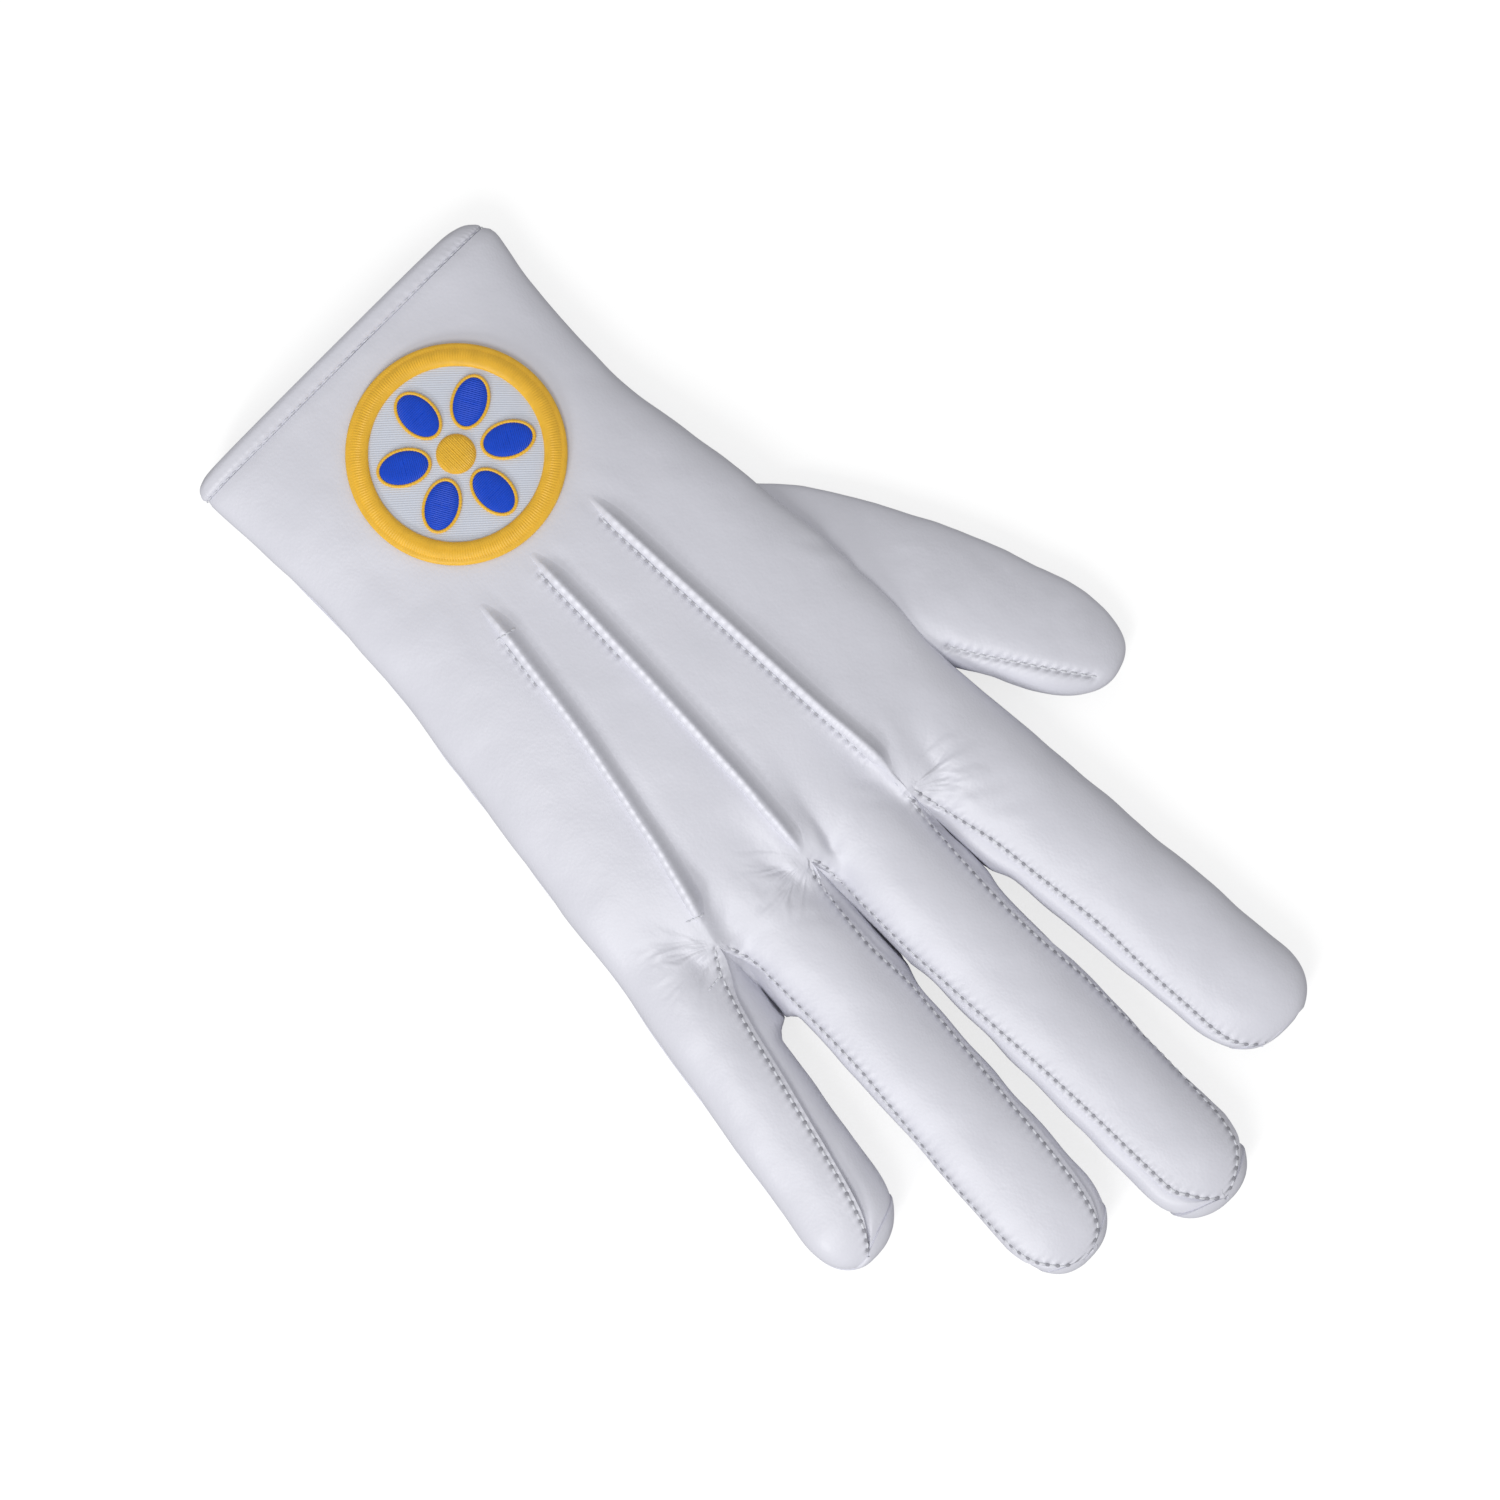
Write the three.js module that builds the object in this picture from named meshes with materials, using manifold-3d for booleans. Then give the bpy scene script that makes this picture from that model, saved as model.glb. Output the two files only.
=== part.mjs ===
// A white leather parade glove for the right hand, lying on its palm with its fingers along +Y.
// Millimetres, +Z up. The outline is drawn from the cuff's edge, and the last step moves the
// origin to the middle of the footprint, on the surface that the glove rests on.
import * as THREE from 'three';
import { mergeVertices } from 'three/addons/utils/BufferGeometryUtils.js';
import Module from 'manifold-3d';

const wasm = await Module();
wasm.setup();

// Driving sizes
const HAND_LENGTH = 150;        // cuff edge to the crotches of the fingers
const HAND_WIDTH = 100;         // across the knuckles, lying flat
const HAND_THICKNESS = 22;      // as it stands off the surface, half filled
const FINGER_LENGTH = 108;      // middle finger, crotch to tip
const FINGER_THICKNESS = 18;    // at the root of a finger
const TIP_ROUNDING = 14;        // length of a finger's rounded end
const SIDE_LEVEL = 9;           // height of the glove's widest line, where back and palm meet
const THUMB_LENGTH = 85.5;       // from its root inside the hand to its tip
const THUMB_WIDTH = 25;
const THUMB_THICKNESS = 14;
const THUMB_ROUNDING = 24;
const WALL = 1.2;               // leather
const GAP = 0.3;                // between neighbouring pieces
const HEM_WIDTH = 4;            // turned edge of the cuff
const HEM_WALL = 2.2;           // the edge is folded double
const CORNER_THUMB_SIDE = 8;    // plan radius of the cuff's corners
const CORNER_LITTLE_SIDE = 4;
const POINT_WIDTH = 1.9;        // the three raised points on the back
const POINT_HEIGHT = 1.3;
const PATCH_RADIUS = 23.1;      // round embroidered patch at the wrist
const PATCH_BORDER = 4.7;
const PATCH_BORDER_HEIGHT = 2;
const PATCH_CLOTH = 0.9;
const PATCH_RELIEF = 0.8;       // satin stitch above the patch's cloth
const BOSS_RADIUS = 4.2;
const PETALS = 6;
const PETAL_LENGTH = 11;
const PETAL_WIDTH = 7.4;

// Shape of a section: 1 is an ellipse, smaller is squarer
const HAND_SQUARENESS = 0.72;
const FINGER_SQUARENESS = 0.94;
const BASE_SPREAD = 1.16;       // how far the underside is pressed flat
const TIP_BLUNTNESS = 2.3;
const HAND_SIDES = 28;
const FINGER_SIDES = 16;

// Hand sections. along: share of HAND_LENGTH. thumbEdge, littleEdge: shares of HAND_WIDTH.
// top, under: shares of HAND_THICKNESS.
const HAND_SECTIONS = [
  { along: 0.00, thumbEdge: -0.412, littleEdge: 0.412, top: 0.72, under: 0.00 },
  { along: 0.05, thumbEdge: -0.410, littleEdge: 0.410, top: 0.74, under: 0.00 },
  { along: 0.13, thumbEdge: -0.393, littleEdge: 0.400, top: 0.78, under: 0.00 },
  { along: 0.30, thumbEdge: -0.380, littleEdge: 0.400, top: 0.86, under: 0.00 },
  { along: 0.40, thumbEdge: -0.398, littleEdge: 0.412, top: 0.91, under: 0.00 },
  { along: 0.53, thumbEdge: -0.427, littleEdge: 0.440, top: 0.97, under: 0.00 },
  { along: 0.67, thumbEdge: -0.447, littleEdge: 0.467, top: 1.00, under: 0.00 },
  { along: 0.80, thumbEdge: -0.453, littleEdge: 0.495, top: 1.00, under: 0.00 },
  { along: 0.93, thumbEdge: -0.454, littleEdge: 0.523, top: 0.94, under: 0.00 },
  { along: 1.00, thumbEdge: -0.458, littleEdge: 0.540, top: 0.84, under: 0.03 },
  { along: 1.05, thumbEdge: -0.450, littleEdge: 0.538, top: 0.68, under: 0.10 },
  { along: 1.10, thumbEdge: -0.440, littleEdge: 0.535, top: 0.52, under: 0.22 },
];

// Fingers. rootX, tipX, rootWidth, tipWidth: shares of HAND_WIDTH. reach: share of FINGER_LENGTH.
// The seams' columns tell where a seam runs across the half width, at the root and at the tip.
const FINGERS = [
  {
    name: 'index', rootX: -0.325, tipX: -0.406, reach: 0.843, rootWidth: 0.272, tipWidth: 0.258,
    leftSeam: [1.0, 1.0], rightSeam: [0.90, 0.76],
  },
  {
    name: 'middle', rootX: -0.073, tipX: -0.066, reach: 1.000, rootWidth: 0.247, tipWidth: 0.238,
    leftSeam: [0.93, 0.86], rightSeam: [0.93, 0.66],
  },
  {
    name: 'ring', rootX: 0.172, tipX: 0.223, reach: 0.889, rootWidth: 0.240, tipWidth: 0.228,
    leftSeam: [0.90, 0.82], rightSeam: [0.94, 0.86],
  },
  {
    name: 'little', rootX: 0.432, tipX: 0.532, reach: 0.593, rootWidth: 0.218, tipWidth: 0.222,
    leftSeam: [0.98, 0.20], rightSeam: [1.0, 1.0],
  },
];

// The slots between neighbouring fingers. crotchAlong: share of HAND_LENGTH where its seams meet.
const PAIRS = [
  { left: FINGERS[0], right: FINGERS[1], crotchAlong: 1.000 },
  { left: FINGERS[1], right: FINGERS[2], crotchAlong: 0.970 },
  { left: FINGERS[2], right: FINGERS[3], crotchAlong: 0.965 },
];

// Sections of every finger. along: share of its straight length, from the crotch.
// width: share of the finger's width there. thick: share of FINGER_THICKNESS.
const FINGER_SECTIONS = [
  { along: -0.28, width: 0.90, thick: 0.86 },
  { along: 0.00, width: 1.00, thick: 1.00 },
  { along: 0.30, width: 1.00, thick: 0.97 },
  { along: 0.65, width: 1.00, thick: 0.92 },
  { along: 1.00, width: 1.00, thick: 0.87 },
];

// Thumb: root place as shares of HAND_WIDTH and HAND_LENGTH, and lean from +Y towards -X.
const THUMB_ROOT = { x: -0.29, along: 0.59 };
const THUMB_LEAN = { root: 41, tip: 21, easing: 1.7 };

// Sections of the thumb. along: share of its straight length. width, thick: shares of its sizes.
const THUMB_SECTIONS = [
  { along: 0.00, width: 1.14, thick: 0.90 },
  { along: 0.20, width: 1.22, thick: 0.96 },
  { along: 0.52, width: 1.16, thick: 1.00 },
  { along: 0.80, width: 1.09, thick: 1.00 },
  { along: 1.00, width: 0.99, thick: 0.97 },
];

// Places of the hem's own sections, as shares of HEM_WIDTH.
const HEM_STEPS = [0.2, 0.5];

// Rounded ends: shares of the rounding's length, closer together towards the tip.
const TIP_STEPS = [0.35, 0.64, 0.85, 0.97];

// The three points run from the wrist to the crotches. wristX: share of HAND_WIDTH.
// bend: how far the middle of the line lies from the straight one, as a share of HAND_WIDTH.
const POINTS = [
  { name: 'point_index_side', wristX: -0.163, bend: -0.004 },
  { name: 'point_centre', wristX: 0.007, bend: -0.006 },
  { name: 'point_little_side', wristX: 0.157, bend: -0.018 },
];
const POINTS_FROM = 0.41;       // shares of HAND_LENGTH
const POINTS_TO = 0.925;
const POINT_STEPS = 8;

const PATCH_PLACE = { x: -0.028, along: 0.229 };
const PATCH_SIDES = 40;
const PETAL_SIDES = 16;

// Places of seams along a finger, as shares of its straight length.
const SEAM_STEPS = [0.04, 0.2, 0.4, 0.6, 0.8, 1.0];

const radians = THREE.MathUtils.degToRad;
const mix = THREE.MathUtils.lerp;
const signedPower = (value, power) => Math.sign(value) * Math.abs(value) ** power;

// Value of a table's column at a place between two of its rows.
function between(table, along, column) {
  const next = Math.max(1, table.findIndex((row) => row.along >= along));
  const after = along > table.at(-1).along ? table.length - 1 : next;
  const a = table[after - 1];
  const b = table[after];
  return mix(a[column], b[column], (along - a.along) / (b.along - a.along));
}

// How far a rounded plan corner draws the edge in, at a distance from the cuff's edge.
function cornerInset(radius, y) {
  const left = Math.max(0, radius - Math.max(0, y));
  return radius - Math.sqrt(radius * radius - left * left);
}

// The hand's section at a distance from the cuff's edge.
function handStation(y) {
  const along = y / HAND_LENGTH;
  const right = between(HAND_SECTIONS, along, 'littleEdge') * HAND_WIDTH
    - cornerInset(CORNER_LITTLE_SIDE, y);
  const left = between(HAND_SECTIONS, along, 'thumbEdge') * HAND_WIDTH
    + cornerInset(CORNER_THUMB_SIDE, y);
  return {
    x: (left + right) / 2,
    y,
    lean: 0,
    half: (right - left) / 2,
    top: between(HAND_SECTIONS, along, 'top') * HAND_THICKNESS,
    under: between(HAND_SECTIONS, along, 'under') * HAND_THICKNESS,
    level: SIDE_LEVEL,
  };
}

// The hand from one place to another: the tables' own sections, and one at each end.
function handStations(from, to) {
  const hemRows = HEM_STEPS.map((share) => share * HEM_WIDTH);
  const rows = [...hemRows, ...HAND_SECTIONS.map((row) => row.along * HAND_LENGTH)].sort((a, b) => a - b);
  const kept = rows.filter((y) => y > from + GAP && y < to - GAP);
  return [from, ...kept, to].map(handStation);
}

// Narrows a station to the section of a rounded end, at a share of the rounding.
function rounded(station, share) {
  const left = (1 - share ** TIP_BLUNTNESS) ** (1 / TIP_BLUNTNESS);
  return {
    ...station,
    half: station.half * left,
    top: mix(station.level, station.top, left),
    under: mix(station.level, station.under, left),
  };
}

// A finger's size and axis, worked out from its row.
function fingerFrame(finger) {
  const length = finger.reach * FINGER_LENGTH;
  const rise = (finger.tipX - finger.rootX) * HAND_WIDTH;
  return { length, straight: length - TIP_ROUNDING, lean: Math.atan2(-rise, length) };
}

// A finger's section at a distance from the crotches.
function fingerStation(finger, distance) {
  const { length, straight, lean } = fingerFrame(finger);
  const share = distance / length;
  const width = mix(finger.rootWidth, finger.tipWidth, Math.max(0, share)) * HAND_WIDTH;
  const along = Math.min(1, distance / straight);
  return {
    x: mix(finger.rootX, finger.tipX, share) * HAND_WIDTH,
    y: HAND_LENGTH + distance,
    lean,
    half: width * between(FINGER_SECTIONS, along, 'width') / 2,
    top: FINGER_THICKNESS * between(FINGER_SECTIONS, along, 'thick'),
    under: 0,
    level: SIDE_LEVEL,
  };
}

function fingerStations(finger) {
  const { straight } = fingerFrame(finger);
  const shaft = FINGER_SECTIONS.map((row) => fingerStation(finger, row.along * straight));
  const end = TIP_STEPS.map((share) => {
    return rounded(fingerStation(finger, straight + share * TIP_ROUNDING), share);
  });
  return [...shaft, ...end];
}

// The thumb's axis bends, so its stations are found by walking along it.
function thumbStations() {
  const straight = THUMB_LENGTH - THUMB_ROUNDING;
  const rows = THUMB_SECTIONS.map((row) => ({ ...row, distance: row.along * straight, share: 0 }));
  const last = rows.at(-1);
  const ends = TIP_STEPS.map((share) => ({ ...last, distance: straight + share * THUMB_ROUNDING, share }));
  const place = { x: THUMB_ROOT.x * HAND_WIDTH, y: THUMB_ROOT.along * HAND_LENGTH };
  let walked = 0;
  return [...rows, ...ends].map((row) => {
    const step = row.distance - walked;
    const left = 1 - (walked + step / 2) / THUMB_LENGTH;
    const lean = radians(mix(THUMB_LEAN.tip, THUMB_LEAN.root, left ** THUMB_LEAN.easing));
    place.x -= step * Math.sin(lean);
    place.y += step * Math.cos(lean);
    walked = row.distance;
    return rounded({
      ...place,
      lean,
      half: row.width * THUMB_WIDTH / 2,
      top: row.thick * THUMB_THICKNESS,
      under: 0,
      level: THUMB_THICKNESS / 2,
    }, row.share);
  });
}

// One loop of points round a section, grown or shrunk by an offset and pressed flat below.
function sectionLoop(station, offset, sides, squareness) {
  const { x, y, lean, half, top, under, level } = station;
  const loop = [];
  for (let i = 0; i < sides; i += 1) {
    const angle = (2 * Math.PI * i) / sides;
    const across = signedPower(Math.cos(angle), squareness) * Math.max(0.2, half + offset);
    const lift = signedPower(Math.sin(angle), squareness);
    const rise = Math.max(0.2, top - level + offset);
    const drop = Math.max(0.2, level - under + offset);
    const height = lift > 0 ? level + lift * rise : level + Math.max(-1, lift * BASE_SPREAD) * drop;
    loop.push(new THREE.Vector3(x + across * Math.cos(lean), y + across * Math.sin(lean), height));
  }
  return loop;
}

// A closed solid through a row of equal loops, with a fan at each end.
function loft(loops) {
  const sides = loops[0].length;
  const middle = (loop) => loop.reduce((sum, p) => sum.add(p), new THREE.Vector3()).divideScalar(sides);
  const points = [...loops.flat(), middle(loops[0]), middle(loops.at(-1))];
  const start = points.length - 2;
  const end = points.length - 1;
  const index = [];
  for (let i = 0; i < sides; i += 1) {
    const next = (i + 1) % sides;
    for (let k = 0; k + 1 < loops.length; k += 1) {
      const a = k * sides + i;
      const b = k * sides + next;
      index.push(a, a + sides, b, b, a + sides, b + sides);
    }
    index.push(start, i, next);
    index.push(end, (loops.length - 1) * sides + next, (loops.length - 1) * sides + i);
  }
  const geometry = new THREE.BufferGeometry().setFromPoints(points);
  geometry.setIndex(index);
  return solidOf(geometry);
}

// A three.js geometry as a solid that can be cut and joined.
function solidOf(geometry) {
  geometry.deleteAttribute('normal');
  geometry.deleteAttribute('uv');
  const merged = mergeVertices(geometry, 1e-4);
  return new wasm.Manifold(new wasm.Mesh({
    numProp: 3,
    vertProperties: new Float32Array(merged.attributes.position.array),
    triVerts: new Uint32Array(merged.index.array),
  }));
}

// A tube through stations. An inner tube is drawn back at its tip by the same offset.
function tube(stations, offset, sides, squareness) {
  const loops = stations.map((station, i) => {
    const drawn = i + 1 > stations.length - TIP_STEPS.length ? offset : 0;
    const moved = {
      ...station,
      x: station.x - drawn * Math.sin(station.lean),
      y: station.y + drawn * Math.cos(station.lean),
    };
    return sectionLoop(moved, offset, sides, squareness);
  });
  return loft(loops);
}

// The hand's tube. Its cuff end is lengthened where it has to cut through.
function handTube(offset, from, to, overrun = 0) {
  const stations = handStations(from, to);
  const mouth = { ...stations[0], y: from - overrun };
  const shifted = stations.map((station) => ({ ...station, y: Math.min(station.y, to + offset) }));
  const rows = overrun > 0 ? [mouth, ...shifted] : shifted;
  return loft(rows.map((row) => sectionLoop(row, offset, HAND_SIDES, HAND_SQUARENESS)));
}

const handEnd = HAND_SECTIONS.at(-1).along * HAND_LENGTH;
const panelStart = HEM_WIDTH + GAP;

// Everything but the thumb, grown by an offset: the hand and its four fingers as one body.
function gloveBody(offset, overrun = 0) {
  const fingers = FINGERS.map((finger) => {
    return tube(fingerStations(finger), offset, FINGER_SIDES, FINGER_SQUARENESS);
  });
  return fingers.reduce((body, finger) => body.add(finger), handTube(offset, panelStart, handEnd, overrun));
}

// A tall column over a plan outline, from one height up.
const TALL = 60;
function column(shape, from = -TALL / 2, curveSegments = 1) {
  const geometry = new THREE.ExtrudeGeometry(shape, { depth: TALL, bevelEnabled: false, curveSegments });
  geometry.translate(0, 0, from);
  return solidOf(geometry);
}

function halfSpace(from, height) {
  const reach = 4 * (HAND_LENGTH + FINGER_LENGTH);
  const geometry = new THREE.BoxGeometry(reach, reach, height);
  geometry.translate(0, 0, from + height / 2);
  return solidOf(geometry);
}

// Where a seam crosses a finger's plan at a share of its straight length. side: -1 left, 1 right.
function seamPlace(finger, side, share) {
  const { straight } = fingerFrame(finger);
  const station = fingerStation(finger, share * straight);
  const [root, tip] = side < 0 ? finger.leftSeam : finger.rightSeam;
  const across = side * mix(root, tip, share) * station.half;
  return new THREE.Vector2(station.x + across, station.y);
}

// Where the seam leaves the finger's outline, beside its rounded end.
function seamEnd(finger, side) {
  const { length } = fingerFrame(finger);
  const station = fingerStation(finger, length - TIP_ROUNDING * 0.3);
  return new THREE.Vector2(station.x + side * station.half * 1.1, station.y);
}

// Where two neighbouring fingers' seams meet on the back.
function crotch({ left, right, crotchAlong }) {
  const a = seamPlace(left, 1, 0);
  const b = seamPlace(right, -1, 0);
  return new THREE.Vector2((a.x + b.x) / 2, crotchAlong * HAND_LENGTH);
}

// The plan between two fingers' seams, grown by a margin.
function betweenFingers(pair, margin) {
  const { left, right } = pair;
  const up = SEAM_STEPS.map((share) => seamPlace(left, 1, share));
  const down = SEAM_STEPS.map((share) => seamPlace(right, -1, share)).reverse();
  const leftSide = [...up, seamEnd(left, 1)].map((p) => new THREE.Vector2(p.x - margin, p.y + margin));
  const rightSide = [seamEnd(right, -1), ...down].map((p) => new THREE.Vector2(p.x + margin, p.y + margin));
  const start = crotch(pair);
  const root = [
    new THREE.Vector2(start.x + POINT_WIDTH / 4 + margin, start.y - margin),
    new THREE.Vector2(start.x - POINT_WIDTH / 4 - margin, start.y - margin),
  ];
  return new THREE.Shape([...root, ...leftSide, ...rightSide]);
}

// Materials
const leather = new THREE.MeshStandardMaterial({ color: 0xe9eaf0, roughness: 0.42, metalness: 0 });
const goldThread = new THREE.MeshStandardMaterial({ color: 0xe8b23c, roughness: 0.5, metalness: 0 });
const blueThread = new THREE.MeshStandardMaterial({ color: 0x1c49c8, roughness: 0.5, metalness: 0 });
const patchCloth = new THREE.MeshStandardMaterial({ color: 0xdde2ee, roughness: 0.8, metalness: 0 });

const glove = new THREE.Group();

// Adds a solid to the glove as a named mesh.
function addPiece(name, solid, material) {
  const { vertProperties, triVerts } = solid.getMesh();
  const geometry = new THREE.BufferGeometry();
  geometry.setAttribute('position', new THREE.BufferAttribute(new Float32Array(vertProperties), 3));
  geometry.setIndex(new THREE.BufferAttribute(new Uint32Array(triVerts), 1));
  const mesh = new THREE.Mesh(geometry, material);
  mesh.name = name;
  glove.add(mesh);
}

// Leather: the wall between the outer and the inner body, open at the cuff
const outer = gloveBody(0);
const clear = gloveBody(GAP);
const hollow = gloveBody(-WALL, HEM_WIDTH);
const thumbRow = thumbStations();
const thumbOuter = tube(thumbRow, 0, FINGER_SIDES, FINGER_SQUARENESS);
const thumbHollow = tube(thumbRow, -WALL, FINGER_SIDES, FINGER_SQUARENESS);
const leatherWall = outer.subtract(hollow).subtract(thumbHollow);

const slots = PAIRS.map((pair) => column(betweenFingers(pair, GAP / 2)));
const panels = slots.reduce((wall, slot) => wall.subtract(slot), leatherWall);
addPiece('back_panel', panels.intersect(halfSpace(SIDE_LEVEL + GAP / 2, TALL)), leather);
addPiece('palm_panel', panels.intersect(halfSpace(SIDE_LEVEL - GAP / 2 - TALL, TALL)), leather);

// Side strips between the fingers, each one V-shaped piece down to the web
for (const pair of PAIRS) {
  const strip = column(betweenFingers(pair, -GAP / 2));
  addPiece(`fourchette_${pair.left.name}_${pair.right.name}`, leatherWall.intersect(strip), leather);
}

addPiece('thumb', thumbOuter.subtract(thumbHollow).subtract(clear), leather);

// Turned hem round the cuff's mouth
const hemOuter = handTube(0, 0, HEM_WIDTH);
const hemInner = handTube(-HEM_WALL, 0, HEM_WIDTH + HEM_WALL + WALL, HEM_WIDTH);
addPiece('cuff_hem', hemOuter.subtract(hemInner), leather);

// A layer that follows the back, between two heights above it
function layerOnBack(outline, from, to, curveSegments) {
  const lid = gloveBody(to).subtract(gloveBody(from));
  return lid.intersect(column(outline, SIDE_LEVEL, curveSegments));
}

// Plan of a narrow strip along a curve.
function stripOutline(curve, width, steps) {
  const sideOf = (sign) => Array.from({ length: steps + 1 }, (_, i) => {
    const tangent = curve.getTangent(i / steps);
    const place = curve.getPoint(i / steps);
    return new THREE.Vector2(place.x + sign * tangent.y * width / 2, place.y - sign * tangent.x * width / 2);
  });
  return new THREE.Shape([...sideOf(1), ...sideOf(-1).reverse()]);
}

POINTS.forEach((point, i) => {
  const start = new THREE.Vector2(point.wristX * HAND_WIDTH, POINTS_FROM * HAND_LENGTH);
  const finish = new THREE.Vector2(crotch(PAIRS[i]).x, POINTS_TO * HAND_LENGTH);
  const middle = start.clone().add(finish).divideScalar(2);
  middle.x += 2 * point.bend * HAND_WIDTH;
  const curve = new THREE.QuadraticBezierCurve(start, middle, finish);
  const outline = stripOutline(curve, POINT_WIDTH, POINT_STEPS);
  addPiece(point.name, layerOnBack(outline, GAP, GAP + POINT_HEIGHT), leather);
});

// Round patch: cloth, raised border and a plain rosette
const patchX = PATCH_PLACE.x * HAND_WIDTH;
const patchY = PATCH_PLACE.along * HAND_LENGTH;
const clothRadius = PATCH_RADIUS - PATCH_BORDER - GAP;
const reliefBase = GAP + PATCH_CLOTH + GAP;

function circle(radius) {
  return Array.from({ length: PATCH_SIDES }, (_, i) => {
    const angle = (2 * Math.PI * i) / PATCH_SIDES;
    return new THREE.Vector2(patchX + radius * Math.cos(angle), patchY + radius * Math.sin(angle));
  });
}

const clothOutline = new THREE.Shape(circle(clothRadius));
addPiece('patch_cloth', layerOnBack(clothOutline, GAP, GAP + PATCH_CLOTH), patchCloth);

const borderOutline = new THREE.Shape(circle(PATCH_RADIUS));
borderOutline.holes.push(new THREE.Path(circle(PATCH_RADIUS - PATCH_BORDER)));
addPiece('patch_border', layerOnBack(borderOutline, GAP, GAP + PATCH_BORDER_HEIGHT), goldThread);

const bossOutline = new THREE.Shape(circle(BOSS_RADIUS));
addPiece('patch_boss', layerOnBack(bossOutline, reliefBase, reliefBase + PATCH_RELIEF), goldThread);

// Petals fill the ring of cloth between the boss and the border.
const petalRadius = (BOSS_RADIUS + clothRadius) / 2;
for (let i = 0; i < PETALS; i += 1) {
  const turn = (2 * Math.PI * (i + 0.5)) / PETALS;
  const petal = new THREE.Shape();
  const x = patchX + petalRadius * Math.cos(turn);
  const y = patchY + petalRadius * Math.sin(turn);
  petal.absellipse(x, y, PETAL_LENGTH / 2, PETAL_WIDTH / 2, 0, 2 * Math.PI, false, turn);
  const solid = layerOnBack(petal, reliefBase, reliefBase + PATCH_RELIEF, PETAL_SIDES);
  addPiece(`patch_petal_${i + 1}`, solid, blueThread);
}

// Origin: middle of the footprint, on the surface
const box = new THREE.Box3().setFromObject(glove);
const centre = box.getCenter(new THREE.Vector3());
for (const mesh of glove.children) {
  mesh.position.set(-centre.x, -centre.y, -box.min.z);
}

export default glove;
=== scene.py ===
"""A white leather parade glove for the right hand, lying on its palm, seen from straight above."""
import functools
import math

import bmesh
import bpy
from mathutils import Matrix, Vector, noise
from mathutils.bvhtree import BVHTree


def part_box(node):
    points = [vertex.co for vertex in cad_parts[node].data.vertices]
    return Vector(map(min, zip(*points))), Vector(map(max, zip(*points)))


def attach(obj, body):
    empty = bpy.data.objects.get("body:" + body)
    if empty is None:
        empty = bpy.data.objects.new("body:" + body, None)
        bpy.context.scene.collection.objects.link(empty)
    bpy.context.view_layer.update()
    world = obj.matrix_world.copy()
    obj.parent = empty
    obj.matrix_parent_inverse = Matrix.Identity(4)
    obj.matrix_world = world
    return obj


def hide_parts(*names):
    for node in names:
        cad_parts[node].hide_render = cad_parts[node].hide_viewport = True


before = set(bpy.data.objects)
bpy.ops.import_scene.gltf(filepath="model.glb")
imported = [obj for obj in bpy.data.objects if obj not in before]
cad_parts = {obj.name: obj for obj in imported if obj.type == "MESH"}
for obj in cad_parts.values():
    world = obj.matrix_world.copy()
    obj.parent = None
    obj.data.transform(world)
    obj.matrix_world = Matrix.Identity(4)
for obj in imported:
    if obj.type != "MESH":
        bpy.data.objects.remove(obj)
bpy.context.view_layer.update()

MM = 0.001
ROOT = "root"
SCENE = bpy.context.scene
UP = Vector((0, 0, 1))
DOWN = -UP

# The glove is drawn in millimetres from the middle of its cuff edge: x to the little finger,
# y to the fingertips, z up. The patch's boss tells where that drawing lies in the frame.
PATCH_X = -2.8
PATCH_Y = 34.35
BOSS_LOW, BOSS_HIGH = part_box("patch_boss")
SHIFT_X = (BOSS_LOW[0] + BOSS_HIGH[0]) / 2 / MM - PATCH_X
SHIFT_Y = (BOSS_LOW[1] + BOSS_HIGH[1]) / 2 / MM - PATCH_Y

# Sizes, in millimetres
HAND_LENGTH = 150.0
HAND_WIDTH = 100.0
HAND_THICKNESS = 22.0
FINGER_LENGTH = 108.0
FINGER_THICKNESS = 18.0
TIP_ROUNDING = 14.0
SIDE_LEVEL = 9.0
THUMB_LENGTH = 85.5
THUMB_WIDTH = 25.0
THUMB_THICKNESS = 14.0
THUMB_ROUNDING = 24.0
LEATHER = 1.1
PANEL_START = 4.35
SEAM_ALLOWANCE = 1.0
HAND_SQUARENESS = 0.72
FINGER_SQUARENESS = 0.94
BASE_SPREAD = 1.16
TIP_BLUNTNESS = 2.3
CORNER_THUMB_SIDE = 8.0
CORNER_LITTLE_SIDE = 4.0
FOLD = math.radians(24)
PALM_SEAM_DROP = math.radians(36)
ALLOWANCE_FADES = 9.0
PALM_SEAM_RISES = 8.0

# Hand sections: share of the hand's length, the edge at the thumb and the one at the little finger
# as shares of its width, top and underside as shares of its thickness, and how far the thumb lifts
# its edge, in millimetres.
HAND_SECTIONS = [
    (0.00, -0.412, 0.412, 0.72, 0.00, 0.0),
    (0.05, -0.410, 0.410, 0.74, 0.00, 0.0),
    (0.13, -0.393, 0.402, 0.78, 0.00, 0.0),
    (0.30, -0.380, 0.400, 0.86, 0.00, 0.0),
    (0.40, -0.398, 0.412, 0.91, 0.00, 0.5),
    (0.53, -0.425, 0.440, 0.97, 0.00, 2.0),
    (0.67, -0.447, 0.467, 1.00, 0.00, 3.6),
    (0.80, -0.453, 0.495, 1.00, 0.00, 3.6),
    (0.93, -0.454, 0.523, 0.94, 0.00, 2.0),
    (1.00, -0.458, 0.540, 0.84, 0.03, 0.6),
    (1.05, -0.450, 0.538, 0.74, 0.06, 0.0),
    (1.12, -0.440, 0.535, 0.62, 0.12, 0.0),
    (1.18, -0.440, 0.535, 0.58, 0.14, 0.0),
]

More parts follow.
